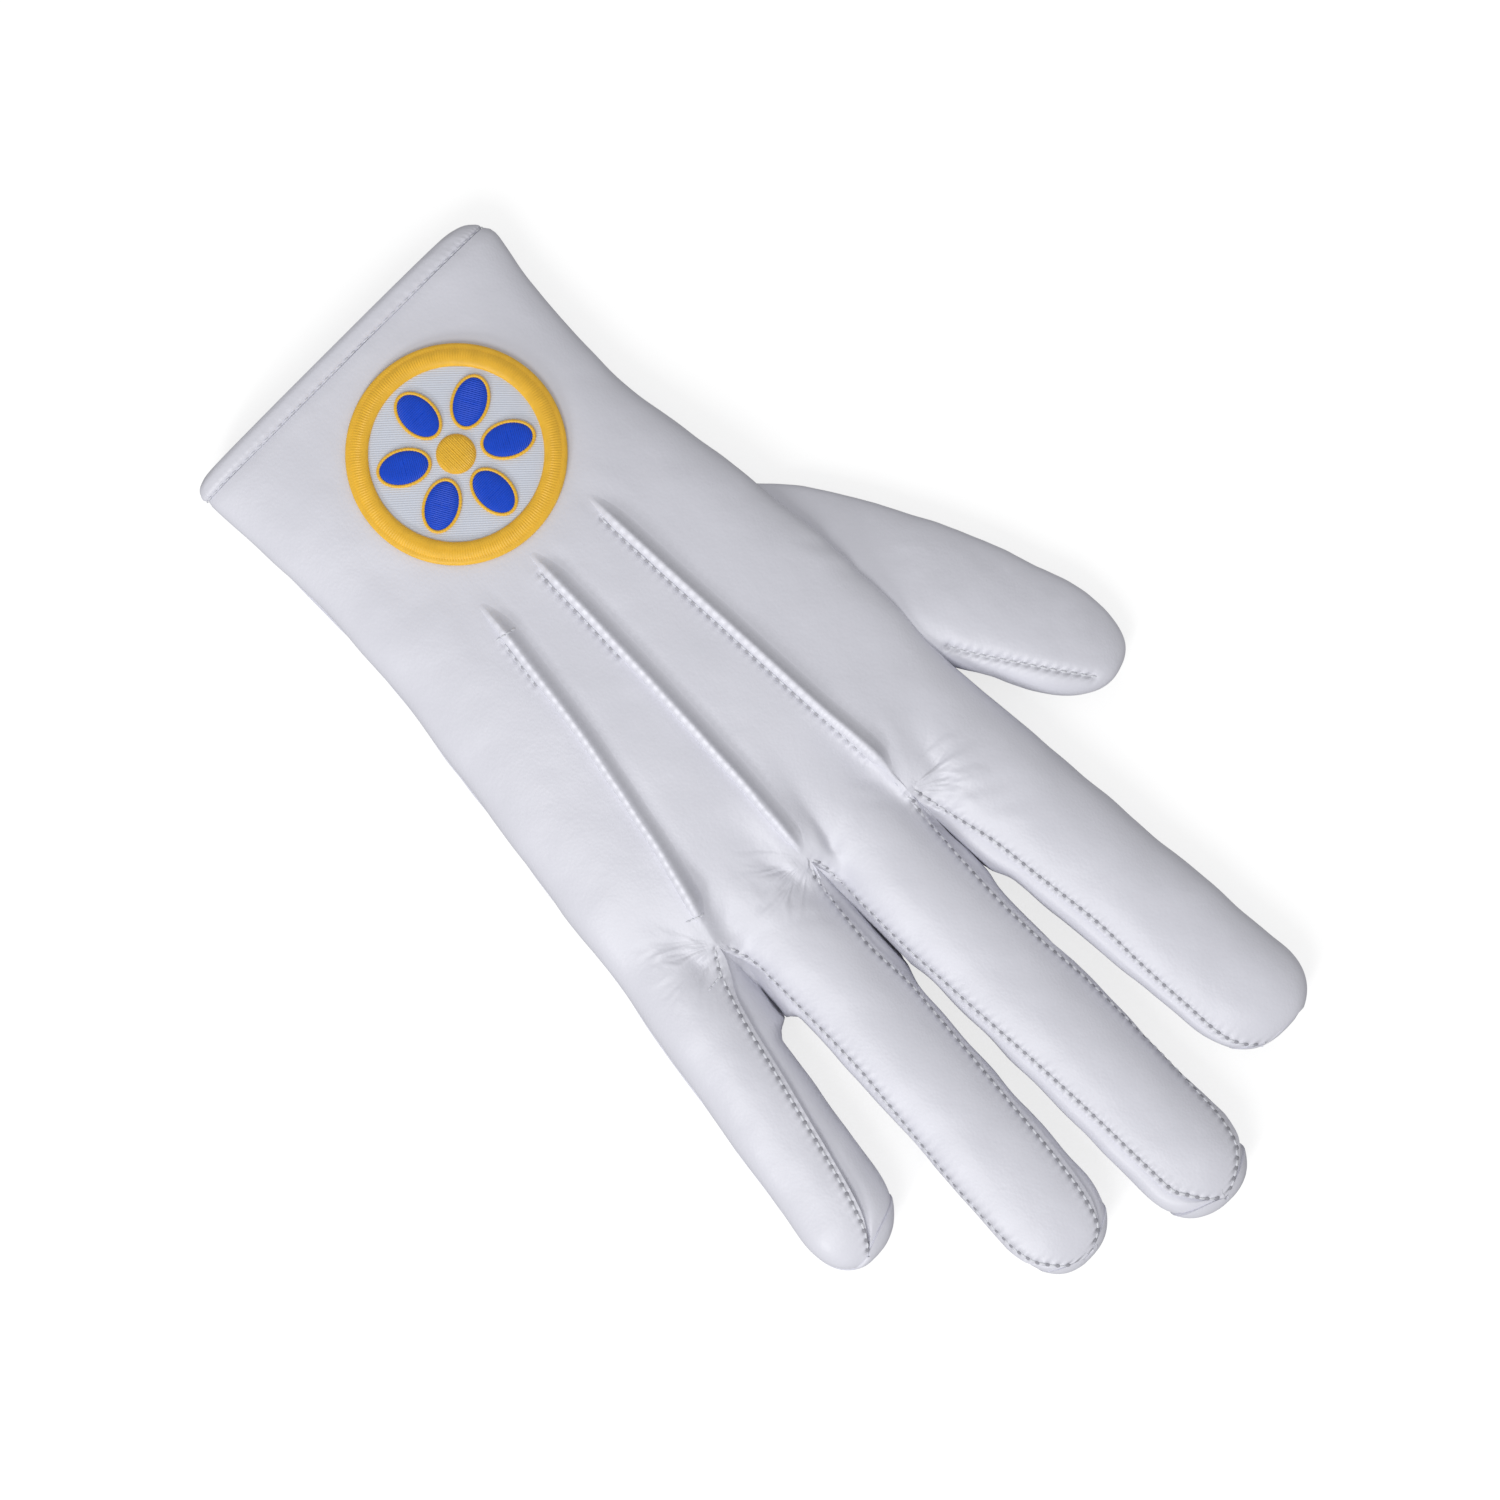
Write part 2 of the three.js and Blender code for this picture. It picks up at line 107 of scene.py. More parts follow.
# Sections of every finger: share of its straight length, shares of its width and thickness.
FINGER_SECTIONS = [
    (-0.50, 0.90, 0.86),
    (0.00, 1.00, 1.00),
    (0.30, 1.00, 0.97),
    (0.65, 1.00, 0.92),
    (1.00, 1.00, 0.87),
]

# Slots between the fingers: where the seams meet on the back, where the palm's leather ends and
# over what length it opens, and which way the back's leather is gathered, in radians from the cuff.
SLOTS = [
    {"x": -19.8, "back": 149.6, "palm": 171.0, "opening": 8.0, "gather": -2.1},
    {"x": 4.9, "back": 145.2, "palm": 172.0, "opening": 11.0, "gather": 1.5},
    {"x": 31.0, "back": 144.4, "palm": 165.3, "opening": 2.0, "gather": 1.3},
]

# The lines that the three raised points follow, as (y, x), from the cuff into the slots.
POINT_LINES = [
    [(4, -15.4), (60, -16.3), (80, -17), (95, -17.8), (110, -18.5), (125, -19.3),
     (139, -20.4), (149.6, -19.8), (175, -20)],
    [(4, 0.5), (62, 0.7), (80, 1.0), (100, 1.7), (115, 2.5), (130, 3.3),
     (140, 4.2), (145.2, 4.9), (175, 5.2)],
    [(4, 15), (63, 15.7), (80, 17.5), (97, 20), (110, 22.5), (122, 25),
     (134, 28), (139.5, 30), (144.4, 31), (175, 32)],
]

# Fingers: places and widths as shares of the hand's width, reach as a share of the longest.
# back_end is how far before the tip the back's leather ends, and the seams are stitched rows
# as (y, x). A side without a row is a fold.
FINGERS = [
    {
        "name": "index", "root_x": -0.325, "tip_x": -0.406, "reach": 0.843,
        "root_width": 0.272, "tip_width": 0.258, "back_end": 1.0,
        "left_seam": None,
        "right_seam": [(150.2, -20.6), (161, -23), (170, -25), (181, -26.3), (197, -28.2),
                       (210, -28.5), (222, -29.2), (232, -30), (237, -32), (240, -35)],
    },
    {
        "name": "middle", "root_x": -0.073, "tip_x": -0.066, "reach": 1.000,
        "root_width": 0.247, "tip_width": 0.238, "back_end": 1.3,
        "left_seam": [(150.2, -19), (155, -18.4), (168, -17.5), (180, -17), (190, -17.3),
                      (205, -18.4), (240, -18.0), (249, -16.5), (252.5, -14), (255, -10.5),
                      (256.7, -7.2)],
        "right_seam": [(145.5, 4.4), (150, 3.6), (170, 3.6), (183, 3), (197, 2.2), (213, 1.2),
                       (227, 0.7), (241, 0.4), (247.5, 0), (250.5, -1.5), (253, -3),
                       (255, -4.8), (256.7, -6.4)],
    },
    {
        "name": "ring", "root_x": 0.172, "tip_x": 0.223, "reach": 0.889,
        "root_width": 0.240, "tip_width": 0.228, "back_end": 1.2,
        "left_seam": [(147, 6.0), (155, 7.5), (167, 8.7), (178, 8.3), (187, 9), (199, 10),
                      (212, 11.2), (224, 12.3), (234, 13.7), (240.5, 15.5), (242.5, 17),
                      (244.8, 20.5)],
        "right_seam": [(146.5, 29.5), (150, 28.7), (153, 28), (170, 28), (183, 28.3),
                       (195, 29.5), (205, 30.5), (217, 31.7), (230, 32.1), (235, 31.7),
                       (238.5, 30.5), (243, 27), (244.8, 23.5)],
    },
    {
        "name": "little", "root_x": 0.432, "tip_x": 0.532, "reach": 0.593,
        "root_width": 0.218, "tip_width": 0.222, "back_end": 1.2,
        "left_seam": [(144.7, 31.8), (149, 34.5), (159, 38), (170, 40.7), (179, 43),
                      (190, 45.7), (197.5, 47.7), (203.5, 49.5), (208.5, 51.5), (212.8, 54.5)],
        "right_seam": None,
    },
]

# Thumb: root place, lean from the hand's length in degrees, and sections along its length.
THUMB_ROOT = (-29.0, 88.5)
THUMB_LEAN = {"root": 41.0, "tip": 21.0, "easing": 1.7}
THUMB_ROLL = 0.16
THUMB_SECTIONS = [
    (0.00, 1.14, 0.90),
    (0.20, 1.22, 0.94),
    (0.52, 1.16, 1.00),
    (0.80, 1.09, 1.00),
    (1.00, 0.99, 0.97),
]

# Patch, in millimetres
PATCH_RADIUS = 23.1
RIM_INNER = 18.2
RIM_STEP = 21.6
RIM_FOOT = 0.3
RIM_TOP = 2.05
RIM_THREADS = 240
CLOTH_LEVEL = 0.9
BOSS_RADIUS = 4.2
BOSS_TOP = 2.1
PETALS = 6
PETAL_MIDDLE = 11.15
PETAL_LENGTH = 11.0
PETAL_WIDTH = 7.4
PETAL_TOP = 1.9
SATIN_TURNS = 9.0
CORD = {"radius": 0.36, "level": 1.25, "twists": 46}
THREAD_PITCH = 0.42

STITCH_PITCH = 2.15
ROW_REACH = 9.0
ROW_END_REACH = 5.0
HEM_STITCHES = 90
GATHER_REACH = 20.0
GATHER_FADES = 9.0
GATHER_CLEAR = (1.5, 6.0)
GATHER_SECTOR = 0.75


def place(point):
    """A point of the drawing as a point of the frame."""
    return Vector(((point[0] + SHIFT_X) * MM, (point[1] + SHIFT_Y) * MM, point[2] * MM))


def mix(a, b, share):
    return a + (b - a) * share


def smooth(low, high, value):
    """Rises from 0 to 1 between two values, level at both ends."""
    share = min(1.0, max(0.0, (value - low) / (high - low)))
    return share * share * (3 - 2 * share)


def bell(distance, width):
    return math.exp(-((distance / width) ** 2))


def signed_power(value, power):
    return math.copysign(abs(value) ** power, value)


def curve_value(points, at):
    """A smooth curve through rows of (place, value), read at one place."""
    last = len(points) - 1
    if at <= points[0][0]:
        return points[0][1]
    if at >= points[last][0]:
        return points[last][1]
    i = 0
    while at > points[i + 1][0]:
        i += 1
    (x0, y0), (x1, y1) = points[i], points[i + 1]
    before = points[max(0, i - 1)]
    after = points[min(last, i + 2)]
    slope_in = (y1 - before[1]) / (x1 - before[0])
    slope_out = (after[1] - y0) / (after[0] - x0)
    t = (at - x0) / (x1 - x0)
    span = x1 - x0
    return (
        (2 * t**3 - 3 * t**2 + 1) * y0
        + (t**3 - 2 * t**2 + t) * slope_in * span
        + (-2 * t**3 + 3 * t**2) * y1
        + (t**3 - t**2) * slope_out * span
    )


def columns(table, *names):
    """Splits rows of (place, value, value) into one curve of (place, value) for each name."""
    return {name: [(row[0], row[i]) for row in table] for i, name in enumerate(names, 1)}


HAND_COLUMNS = columns(HAND_SECTIONS, "thumb_edge", "little_edge", "top", "under", "lift")
FINGER_COLUMNS = columns(FINGER_SECTIONS, "width", "thick")
THUMB_COLUMNS = columns(THUMB_SECTIONS, "width", "thick")


def corner_inset(radius, y):
    """How far a rounded corner of the cuff draws the edge in."""
    left = min(radius, max(0.0, radius - max(0.0, y)))
    return radius - math.sqrt(radius * radius - left * left)


@functools.lru_cache(maxsize=None)
def hand_station(y):
    at = y / HAND_LENGTH
    value = {name: curve_value(points, at) for name, points in HAND_COLUMNS.items()}
    left = value["thumb_edge"] * HAND_WIDTH + corner_inset(CORNER_THUMB_SIDE, y)
    right = value["little_edge"] * HAND_WIDTH - corner_inset(CORNER_LITTLE_SIDE, y)
    return {
        "x": (left + right) / 2,
        "half": (right - left) / 2,
        "top": value["top"] * HAND_THICKNESS,
        "under": value["under"] * HAND_THICKNESS,
        "lift": value["lift"],
    }


def section_point(station, angle, squareness, offset, level):
    """A point round a section: no turn is the little-finger side, a quarter turn is the top."""
    across = signed_power(math.cos(angle), squareness)
    rise = signed_power(math.sin(angle), squareness)
    x = station["x"] + across * max(0.0, station["half"] + offset)
    if rise > 0:
        return x, level + rise * max(0.0, station["top"] - level + offset)
    return x, level + max(-1.0, rise * BASE_SPREAD) * max(0.0, level - station["under"] + offset)


def hand_point(y, angle, offset=0.0):
    station = hand_station(y)
    level = SIDE_LEVEL + station["lift"] * ((1 - math.cos(angle)) / 2) ** 3
    x, z = section_point(station, angle, HAND_SQUARENESS, offset, level)
    return Vector((x, y, z))


def section_angle(station, x, squareness):
    """The angle on the upper half of a section where it crosses a place across."""
    share = (x - station["x"]) / max(0.01, station["half"])
    return math.acos(signed_power(max(-0.999, min(0.999, share)), 1 / squareness))


def hand_angle(y, x):
    return section_angle(hand_station(y), x, HAND_SQUARENESS)


def on_back(x, y, height):
    """A point above the smooth back of the hand."""
    step = 0.5
    here = hand_point(y, hand_angle(y, x))
    side = hand_point(y, hand_angle(y, x + step)) - here
    along = hand_point(y + step, hand_angle(y + step, x)) - here
    return here + side.cross(along).normalized() * height


def left_at_tip(walked, length, rounding):
    """How much of a tube's section is left where its tip is rounded off."""
    share = min(1.0, max(0.0, (walked - (length - rounding)) / rounding))
    return (1 - share**TIP_BLUNTNESS) ** (1 / TIP_BLUNTNESS)


def tip_y(finger):
    return HAND_LENGTH + finger["reach"] * FINGER_LENGTH


def back_end_y(finger):
    return tip_y(finger) - finger["back_end"]


@functools.lru_cache(maxsize=None)
def finger_station_of(number, y):
    finger = FINGERS[number]
    length = finger["reach"] * FINGER_LENGTH
    distance = min(y - HAND_LENGTH, length)
    share = distance / length
    width = mix(finger["root_width"], finger["tip_width"], max(0.0, share)) * HAND_WIDTH
    at = min(1.0, distance / (length - TIP_ROUNDING))
    left = left_at_tip(distance, length, TIP_ROUNDING)
    top = FINGER_THICKNESS * curve_value(FINGER_COLUMNS["thick"], at)
    return {
        "x": mix(finger["root_x"], finger["tip_x"], share) * HAND_WIDTH,
        "half": width * curve_value(FINGER_COLUMNS["width"], at) / 2 * left,
        "top": mix(SIDE_LEVEL, top, left),
        "under": mix(SIDE_LEVEL, 0.0, left),
    }


def finger_point(finger, y, angle, offset=0.0):
    station = finger_station_of(finger["number"], y)
    x, z = section_point(station, angle, FINGER_SQUARENESS, offset, SIDE_LEVEL)
    return Vector((x, y, z))


# Each finger knows its number, its neighbours' slots and the point lines beside it.
for number, finger in enumerate(FINGERS):
    finger["number"] = number
    finger["left_slot"] = SLOTS[number - 1] if number > 0 else None
    finger["right_slot"] = SLOTS[number] if number < len(SLOTS) else None
    finger["left_line"] = POINT_LINES[number - 1] if number > 0 else None
    finger["right_line"] = POINT_LINES[number] if number < len(SLOTS) else None


@functools.lru_cache(maxsize=None)
def back_seam_angle(number, side, y):
    """Where the edge of the back's leather runs on a finger, as an angle of its section."""
    finger = FINGERS[number]
    seam = finger["left_seam"] if side < 0 else finger["right_seam"]
    if seam is not None:
        end = back_end_y(finger)
        allowance = SEAM_ALLOWANCE * smooth(end, end - ALLOWANCE_FADES, y)
        x = curve_value(seam, y) + side * allowance
        return section_angle(finger_station_of(number, y), x, FINGER_SQUARENESS)
    return math.pi + FOLD if side < 0 else 0.0


@functools.lru_cache(maxsize=None)
def palm_seam_angle(number, side, y):
    """Where the edge of the palm's leather runs. Near the tip it rises to the back's edge."""
    finger = FINGERS[number]
    back = back_seam_angle(number, side, y) + (0.0 if side < 0 else 2 * math.pi)
    if (finger["left_seam"] if side < 0 else finger["right_seam"]) is None:
        return back
    low = math.pi + PALM_SEAM_DROP if side < 0 else 2 * math.pi - PALM_SEAM_DROP
    return mix(low, back, smooth(back_end_y(finger) - PALM_SEAM_RISES, back_end_y(finger), y))


BLEND_BEFORE = 30.0
BLEND_AFTER = 6.0
SLOT_OPENING = 12.0
EDGE_REACH = 0.20


def finger_share(finger, u, y, face):
    """How much of a point follows the finger's section, and not the hand's."""
    inner = smooth(HAND_LENGTH - BLEND_BEFORE, HAND_LENGTH + BLEND_AFTER, y)
    result = inner
    for slot, distance in ((finger["left_slot"], u), (finger["right_slot"], 1 - u)):
        if slot is not None:
            opening = SLOT_OPENING if face == "back" else slot["opening"]
            edge = smooth(slot[face], slot[face] + opening, y)
            result -= (inner - edge) * bell(distance, EDGE_REACH)
    return max(0.0, min(1.0, result))


def hand_group_angle(finger, u, y, face):
    """The hand's angle for a column of a finger's group, on the back or on the palm."""
    left, right = math.pi + FOLD, 0.0 if face == "back" else 2 * math.pi
    if finger["left_line"] is not None:
        left = hand_angle(y, curve_value(finger["left_line"], y))
        left = left if face == "back" else 2 * math.pi - left
    if finger["right_line"] is not None:
        right = hand_angle(y, curve_value(finger["right_line"], y))
        right = right if face == "back" else 2 * math.pi - right
    return mix(left, right, u)


def panel_point(finger, u, y, face):
    """A point of the back's or the palm's leather, in a finger's group of columns."""
    number = finger["number"]
    seam_angle = back_seam_angle if face == "back" else palm_seam_angle
    angle = mix(seam_angle(number, -1, y), seam_angle(number, 1, y), u)
    share = finger_share(finger, u, y, face)
    if share >= 1.0:
        return finger_point(finger, y, angle)
    hand = hand_point(y, hand_group_angle(finger, u, y, face))
    return hand.lerp(finger_point(finger, y, angle), share)


@functools.lru_cache(maxsize=None)
def row_lengths(row):
    """A stitched row as (y, length walked so far)."""
    steps = 160
    places, walked = [], 0.0
    x0 = y0 = None
    for i in range(steps + 1):
        y = mix(row[0][0], row[-1][0], i / steps)
        x = curve_value(row, y)
        if i:
            walked += math.hypot(x - x0, y - y0)
        places.append((y, walked))
        x0, y0 = x, y
    return places


def row_phase(row, y):
    """How many stitches of a row, given as (y, x), lie before a place along it."""
    places = row_lengths(tuple(row))
    if y <= places[0][0]:
        return (y - places[0][0]) / STITCH_PITCH
    share = (y - places[0][0]) / (places[-1][0] - places[0][0]) * (len(places) - 1)
    i = min(len(places) - 2, int(share))
    return mix(places[i][1], places[i + 1][1], share - i) / STITCH_PITCH


def crowd(share, amount):
    """Moves evenly spaced shares towards both ends."""
    return mix(share, (1 - math.cos(math.pi * share)) / 2, amount)


def grid_map(bm, columns, rows, point):
    """Adds a grid and sets each vertex to point(share across, share along), in millimetres."""
    made = bmesh.ops.create_grid(bm, x_segments=columns, y_segments=rows, size=0.5)["verts"]
    for vertex in made:
        u = round((vertex.co.x + 0.5) * columns) / columns
        v = round((vertex.co.y + 0.5) * rows) / rows
        vertex.co = point(u, v)
    return made


def merge(bm, distance=0.002):
    bmesh.ops.remove_doubles(bm, verts=bm.verts, dist=distance)
    bmesh.ops.dissolve_degenerate(bm, edges=bm.edges, dist=distance / 4)
    bm.normal_update()


def face_towards(bm, direction):
    """Turns an open sheet so that most of its faces look one way."""
    if sum(face.normal.dot(direction) * face.calc_area() for face in bm.faces) < 0:
        bmesh.ops.reverse_faces(bm, faces=bm.faces)
        bm.normal_update()


def closed_form(columns_round, rows, point):
    """A form whose grid closes on itself, with its faces outwards."""
    bm = bmesh.new()
    grid_map(bm, columns_round, rows, point)
    merge(bm)
    bmesh.ops.recalc_face_normals(bm, faces=bm.faces)
    return bm


def round_sheet(columns_round, rows, point):
    """A sheet whose grid runs round its middle, with its faces up."""
    bm = bmesh.new()
    grid_map(bm, columns_round, rows, point)
    merge(bm)
    face_towards(bm, UP)
    return bm


def displace(bm, relief):
    """Moves each vertex along its normal by relief(point), in millimetres."""
    moves = [(vertex, vertex.normal * relief(vertex.co)) for vertex in bm.verts]
    for vertex, move in moves:
        vertex.co += move
    bm.normal_update()


def lay_down(bm, level):
    """Leather that would sink lies flat at a level just above the floor."""
    for vertex in bm.verts:
        vertex.co.z = max(vertex.co.z, level)
    bm.normal_update()


def mark_rows(bm, rows):
    """Notes on each vertex how far it lies from the nearest stitched row, and where along it."""
    phase_layer = bm.verts.layers.float.new("seam_phase")
    across_layer = bm.verts.layers.float.new("seam_across")
    for vertex in bm.verts:
        nearest, phase = ROW_REACH, 0.0
        x, y = vertex.co.x, vertex.co.y
        for row in rows:
            low, high = row[0][0], row[-1][0]
            if low - ROW_END_REACH < y < high + ROW_END_REACH:
                at = min(high, max(low, y))
                middle = curve_value(row, at)
                slope = (curve_value(row, at + 0.1) - curve_value(row, at - 0.1)) / 0.2
                across = (x - middle) / math.hypot(1.0, slope)
                away = math.hypot(across, y - at)
                if away < nearest:
                    nearest, phase = away, row_phase(row, y)
        vertex[phase_layer] = phase
        vertex[across_layer] = nearest


GATHER_PARTS = ("weight", "turn", "reach")


def mark_gathers(bm):
    """Notes on each vertex how strongly the slots gather it, and its turn and reach from them."""
    layers = [bm.verts.layers.float.new("gather_" + part) for part in GATHER_PARTS]
    for vertex in bm.verts:
        best = (0.0, 0.0, 0.0)
        for number, slot in enumerate(SLOTS):
            across, along = vertex.co.x - slot["x"], slot["back"] - vertex.co.y
            reach, turn = math.hypot(across, along), math.atan2(across, along)
            weight = smooth(GATHER_REACH, GATHER_FADES, reach) * smooth(*GATHER_CLEAR, reach)
            weight *= bell(turn - slot["gather"], GATHER_SECTOR)
            best = max(best, (weight, turn + number * 3, reach))
        for layer, value in zip(layers, best):
            vertex[layer] = value


def finish(bm, name, material, wall=0.0, sharp=40.0):
    """Makes the piece in the frame's metres, with a wall of leather inwards where asked."""
    for vertex in bm.verts:
        vertex.co = place(vertex.co)
    mesh = bpy.data.meshes.new(name)
    bm.to_mesh(mesh)
    bm.free()
    piece = bpy.data.objects.new(name, mesh)
    SCENE.collection.objects.link(piece)
    if wall:
        solidify = piece.modifiers.new("wall", "SOLIDIFY")
        solidify.thickness = wall * MM
        solidify.offset = -1.0
        bpy.context.view_layer.update()
        evaluated = piece.evaluated_get(bpy.context.evaluated_depsgraph_get())
        solid = bpy.data.meshes.new_from_object(evaluated)
        piece.modifiers.clear()
        piece.data = solid
        bpy.data.meshes.remove(mesh)
        solid.name = name
        mesh = solid
    mesh.materials.clear()
    mesh.materials.append(material)
    for polygon in mesh.polygons:
        polygon.use_smooth = True
    mesh.set_sharp_from_angle(angle=math.radians(sharp))
    return piece


def keep(piece, slot, *nodes):
    """Rides a piece on the glove and hides the nodes that it stands for; slot is not used."""
    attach(piece, ROOT)
    if nodes:
        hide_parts(*nodes)
    return piece


# Finishes
def new_material(name, color, roughness):
    material = bpy.data.materials.new(name)
    material.use_nodes = True
    shader = material.node_tree.nodes["Principled BSDF"]
    shader.inputs["Base Color"].default_value = (*color, 1.0)
    shader.inputs["Roughness"].default_value = roughness
    return material, shader


def group_with(name, inputs, outputs):
    """A node group with named sockets: (name, type, default)."""
    tree = bpy.data.node_groups.new(name, "ShaderNodeTree")
    for socket, kind, default in inputs:
        made = tree.interface.new_socket(name=socket, in_out="INPUT", socket_type=kind)
        if default is not None:
            made.default_value = default
    for socket, kind in outputs:
        tree.interface.new_socket(name=socket, in_out="OUTPUT", socket_type=kind)
    return tree, tree.nodes.new("NodeGroupInput"), tree.nodes.new("NodeGroupOutput")


def math_node(tree, operation, first, second=None):
    node = tree.nodes.new("ShaderNodeMath")
    node.operation = operation
    for socket, value in zip(node.inputs, (first, second)):
        if isinstance(value, (int, float)):
            socket.default_value = value
        elif value is not None:
            tree.links.new(value, socket)
    return node.outputs[0]


def times(tree, first, second):
    return math_node(tree, "MULTIPLY", first, second)


def plus(tree, first, second):
    return math_node(tree, "ADD", first, second)


def scaled_color(tree, color, scale):
    node = tree.nodes.new("ShaderNodeVectorMath")
    node.operation = "SCALE"
    tree.links.new(color, node.inputs[0])
    tree.links.new(scale, node.inputs["Scale"])
    return node.outputs[0]


def bell_node(tree, value, width):
    """A soft hump that is one where the value is nothing and fades away from there."""
    scaled = math_node(tree, "DIVIDE", value, width)
    squared = times(tree, scaled, scaled)
    return math_node(tree, "EXPONENT", times(tree, squared, -1.0))


def read_attribute(tree, name):
    node = tree.nodes.new("ShaderNodeAttribute")
    node.attribute_name = name
    return node.outputs["Fac"]


def mottle_group():
    """Soft uneven colour: a noise of the given size lightens and darkens a colour."""
    inputs = [
        ("Color", "NodeSocketColor", None),
        ("Size", "NodeSocketFloat", 0.02),
        ("Strength", "NodeSocketFloat", 0.05),
    ]
    tree, into, out = group_with("mottle", inputs, [("Color", "NodeSocketColor")])
    coordinates = tree.nodes.new("ShaderNodeTexCoord")
    cloud = tree.nodes.new("ShaderNodeTexNoise")
    cloud.inputs["Detail"].default_value = 4.0
    tree.links.new(coordinates.outputs["Object"], cloud.inputs["Vector"])
    tree.links.new(math_node(tree, "DIVIDE", 1.0, into.outputs["Size"]), cloud.inputs["Scale"])
    centred = math_node(tree, "SUBTRACT", cloud.outputs["Fac"], 0.5)
    value = plus(tree, times(tree, centred, into.outputs["Strength"]), 1.0)
    tree.links.new(scaled_color(tree, into.outputs["Color"], value), out.inputs["Color"])
    return tree


MOTTLE = mottle_group()
# How strongly the painted shade and painted highlight on the raised points scale the leather's colour.
PAINTED_LIGHT_STRENGTH = 0.2


def mottled(material, shader, color, size, strength, painted_light=False):
    """Gives a finish its mottled colour, with painted shade and painted highlight where asked: darker
    where the attribute is positive, lighter where it is negative.
    """
    tree = material.node_tree
    node = tree.nodes.new("ShaderNodeGroup")
    node.node_tree = MOTTLE
    node.inputs["Color"].default_value = (*color, 1.0)
    node.inputs["Size"].default_value = size
    node.inputs["Strength"].default_value = strength
    result = node.outputs["Color"]
    # Painted shade and painted highlight: the colour is scaled by one less the attribute times the
    # strength.
    if painted_light:
        shade = times(tree, read_attribute(tree, "painted_shade_and_highlight"), -PAINTED_LIGHT_STRENGTH)
        result = scaled_color(tree, result, plus(tree, shade, 1.0))
    tree.links.new(result, shader.inputs["Base Color"])


def add_bump(material, shader, height, strength, distance):
    bump = material.node_tree.nodes.new("ShaderNodeBump")
    bump.inputs["Strength"].default_value = strength
    bump.inputs["Distance"].default_value = distance
    material.node_tree.links.new(height, bump.inputs["Height"])
    material.node_tree.links.new(bump.outputs["Normal"], shader.inputs["Normal"])


def leather_finish():
    """Soft white leather: a fine grain, gathers at the slots and dimples along the stitches."""
    color = (0.735, 0.737, 0.81)
    material, shader = new_material("white_leather", color, 0.46)
    shader.inputs["Specular IOR Level"].default_value = 0.8
    tree = material.node_tree
    # The raised points get painted shade on the slope away from the key lamp and a painted highlight
    # beside their lit crest.
    mottled(material, shader, color, 0.03, 0.06, True)
    coordinates = tree.nodes.new("ShaderNodeTexCoord")
    grain = tree.nodes.new("ShaderNodeTexVoronoi")
    grain.inputs["Scale"].default_value = 1500.0
    tree.links.new(coordinates.outputs["Object"], grain.inputs["Vector"])
    lumps = tree.nodes.new("ShaderNodeTexNoise")
    lumps.inputs["Scale"].default_value = 260.0
    lumps.inputs["Detail"].default_value = 5.0
    tree.links.new(coordinates.outputs["Object"], lumps.inputs["Vector"])
    height = times(tree, grain.outputs["Distance"], 0.025)
    height = plus(tree, height, times(tree, lumps.outputs["Fac"], 0.12))
    weight, turn, reach = (read_attribute(tree, "gather_" + part) for part in GATHER_PARTS)
    polar = tree.nodes.new("ShaderNodeCombineXYZ")
    tree.links.new(times(tree, turn, 3.4), polar.inputs["X"])
    tree.links.new(times(tree, reach, 0.13), polar.inputs["Y"])
    folds = tree.nodes.new("ShaderNodeTexNoise")
    folds.inputs["Scale"].default_value = 1.0
    folds.inputs["Detail"].default_value = 1.0
    folds.inputs["Distortion"].default_value = 0.5
    tree.links.new(polar.outputs["Vector"], folds.inputs["Vector"])
    height = plus(tree, height, times(tree, times(tree, folds.outputs["Fac"], weight), 1.4))
    phase = read_attribute(tree, "seam_phase")
    across = read_attribute(tree, "seam_across")
    wave = times(tree, math_node(tree, "COSINE", times(tree, phase, 2 * math.pi)), 0.5)
    at_holes = plus(tree, wave, 0.5)
    between = math_node(tree, "SUBTRACT", 0.5, wave)
    dimple = times(tree, at_holes, bell_node(tree, across, 0.5))
    puff = times(tree, between, bell_node(tree, across, 1.3))
    groove = bell_node(tree, across, 0.7)
    for part, depth in ((dimple, -0.24), (puff, 0.20), (groove, -0.14)):
        height = plus(tree, height, times(tree, part, depth))
    add_bump(material, shader, height, 1.0, 0.001)
    return material


def thread_finish(name, color, roughness=0.5):
    """Thread with fine strands, laid in rows where a piece notes the way across them."""
    material, shader = new_material(name, color, roughness)
    tree = material.node_tree
    mottled(material, shader, color, 0.002, 0.25)
    coordinates = tree.nodes.new("ShaderNodeTexCoord")
    shader.inputs["Specular IOR Level"].default_value = 0.35
    strands = tree.nodes.new("ShaderNodeTexNoise")
    strands.inputs["Scale"].default_value = 2500.0
    tree.links.new(coordinates.outputs["Object"], strands.inputs["Vector"])
    rows = read_attribute(tree, "thread_across")
    turn = times(tree, rows, 2 * math.pi / THREAD_PITCH)
    wave = times(tree, math_node(tree, "COSINE", turn), 0.05)
    height = plus(tree, wave, times(tree, strands.outputs["Fac"], 0.05))
    add_bump(material, shader, height, 1.0, 0.001)
    return material


def cloth_finish():
    color = (0.68, 0.72, 0.82)
    material, shader = new_material("twill_cloth", color, 0.7)
    tree = material.node_tree
    mottled(material, shader, color, 0.004, 0.08)
    coordinates = tree.nodes.new("ShaderNodeTexCoord")
    wave = tree.nodes.new("ShaderNodeTexWave")
    wave.bands_direction = "DIAGONAL"
    wave.inputs["Scale"].default_value = 900.0
    tree.links.new(coordinates.outputs["Object"], wave.inputs["Vector"])
    add_bump(material, shader, wave.outputs["Fac"], 0.4, 0.0002)
    return material


WHITE_LEATHER = leather_finish()
WHITE_THREAD = thread_finish("white_thread", (0.74, 0.75, 0.80))
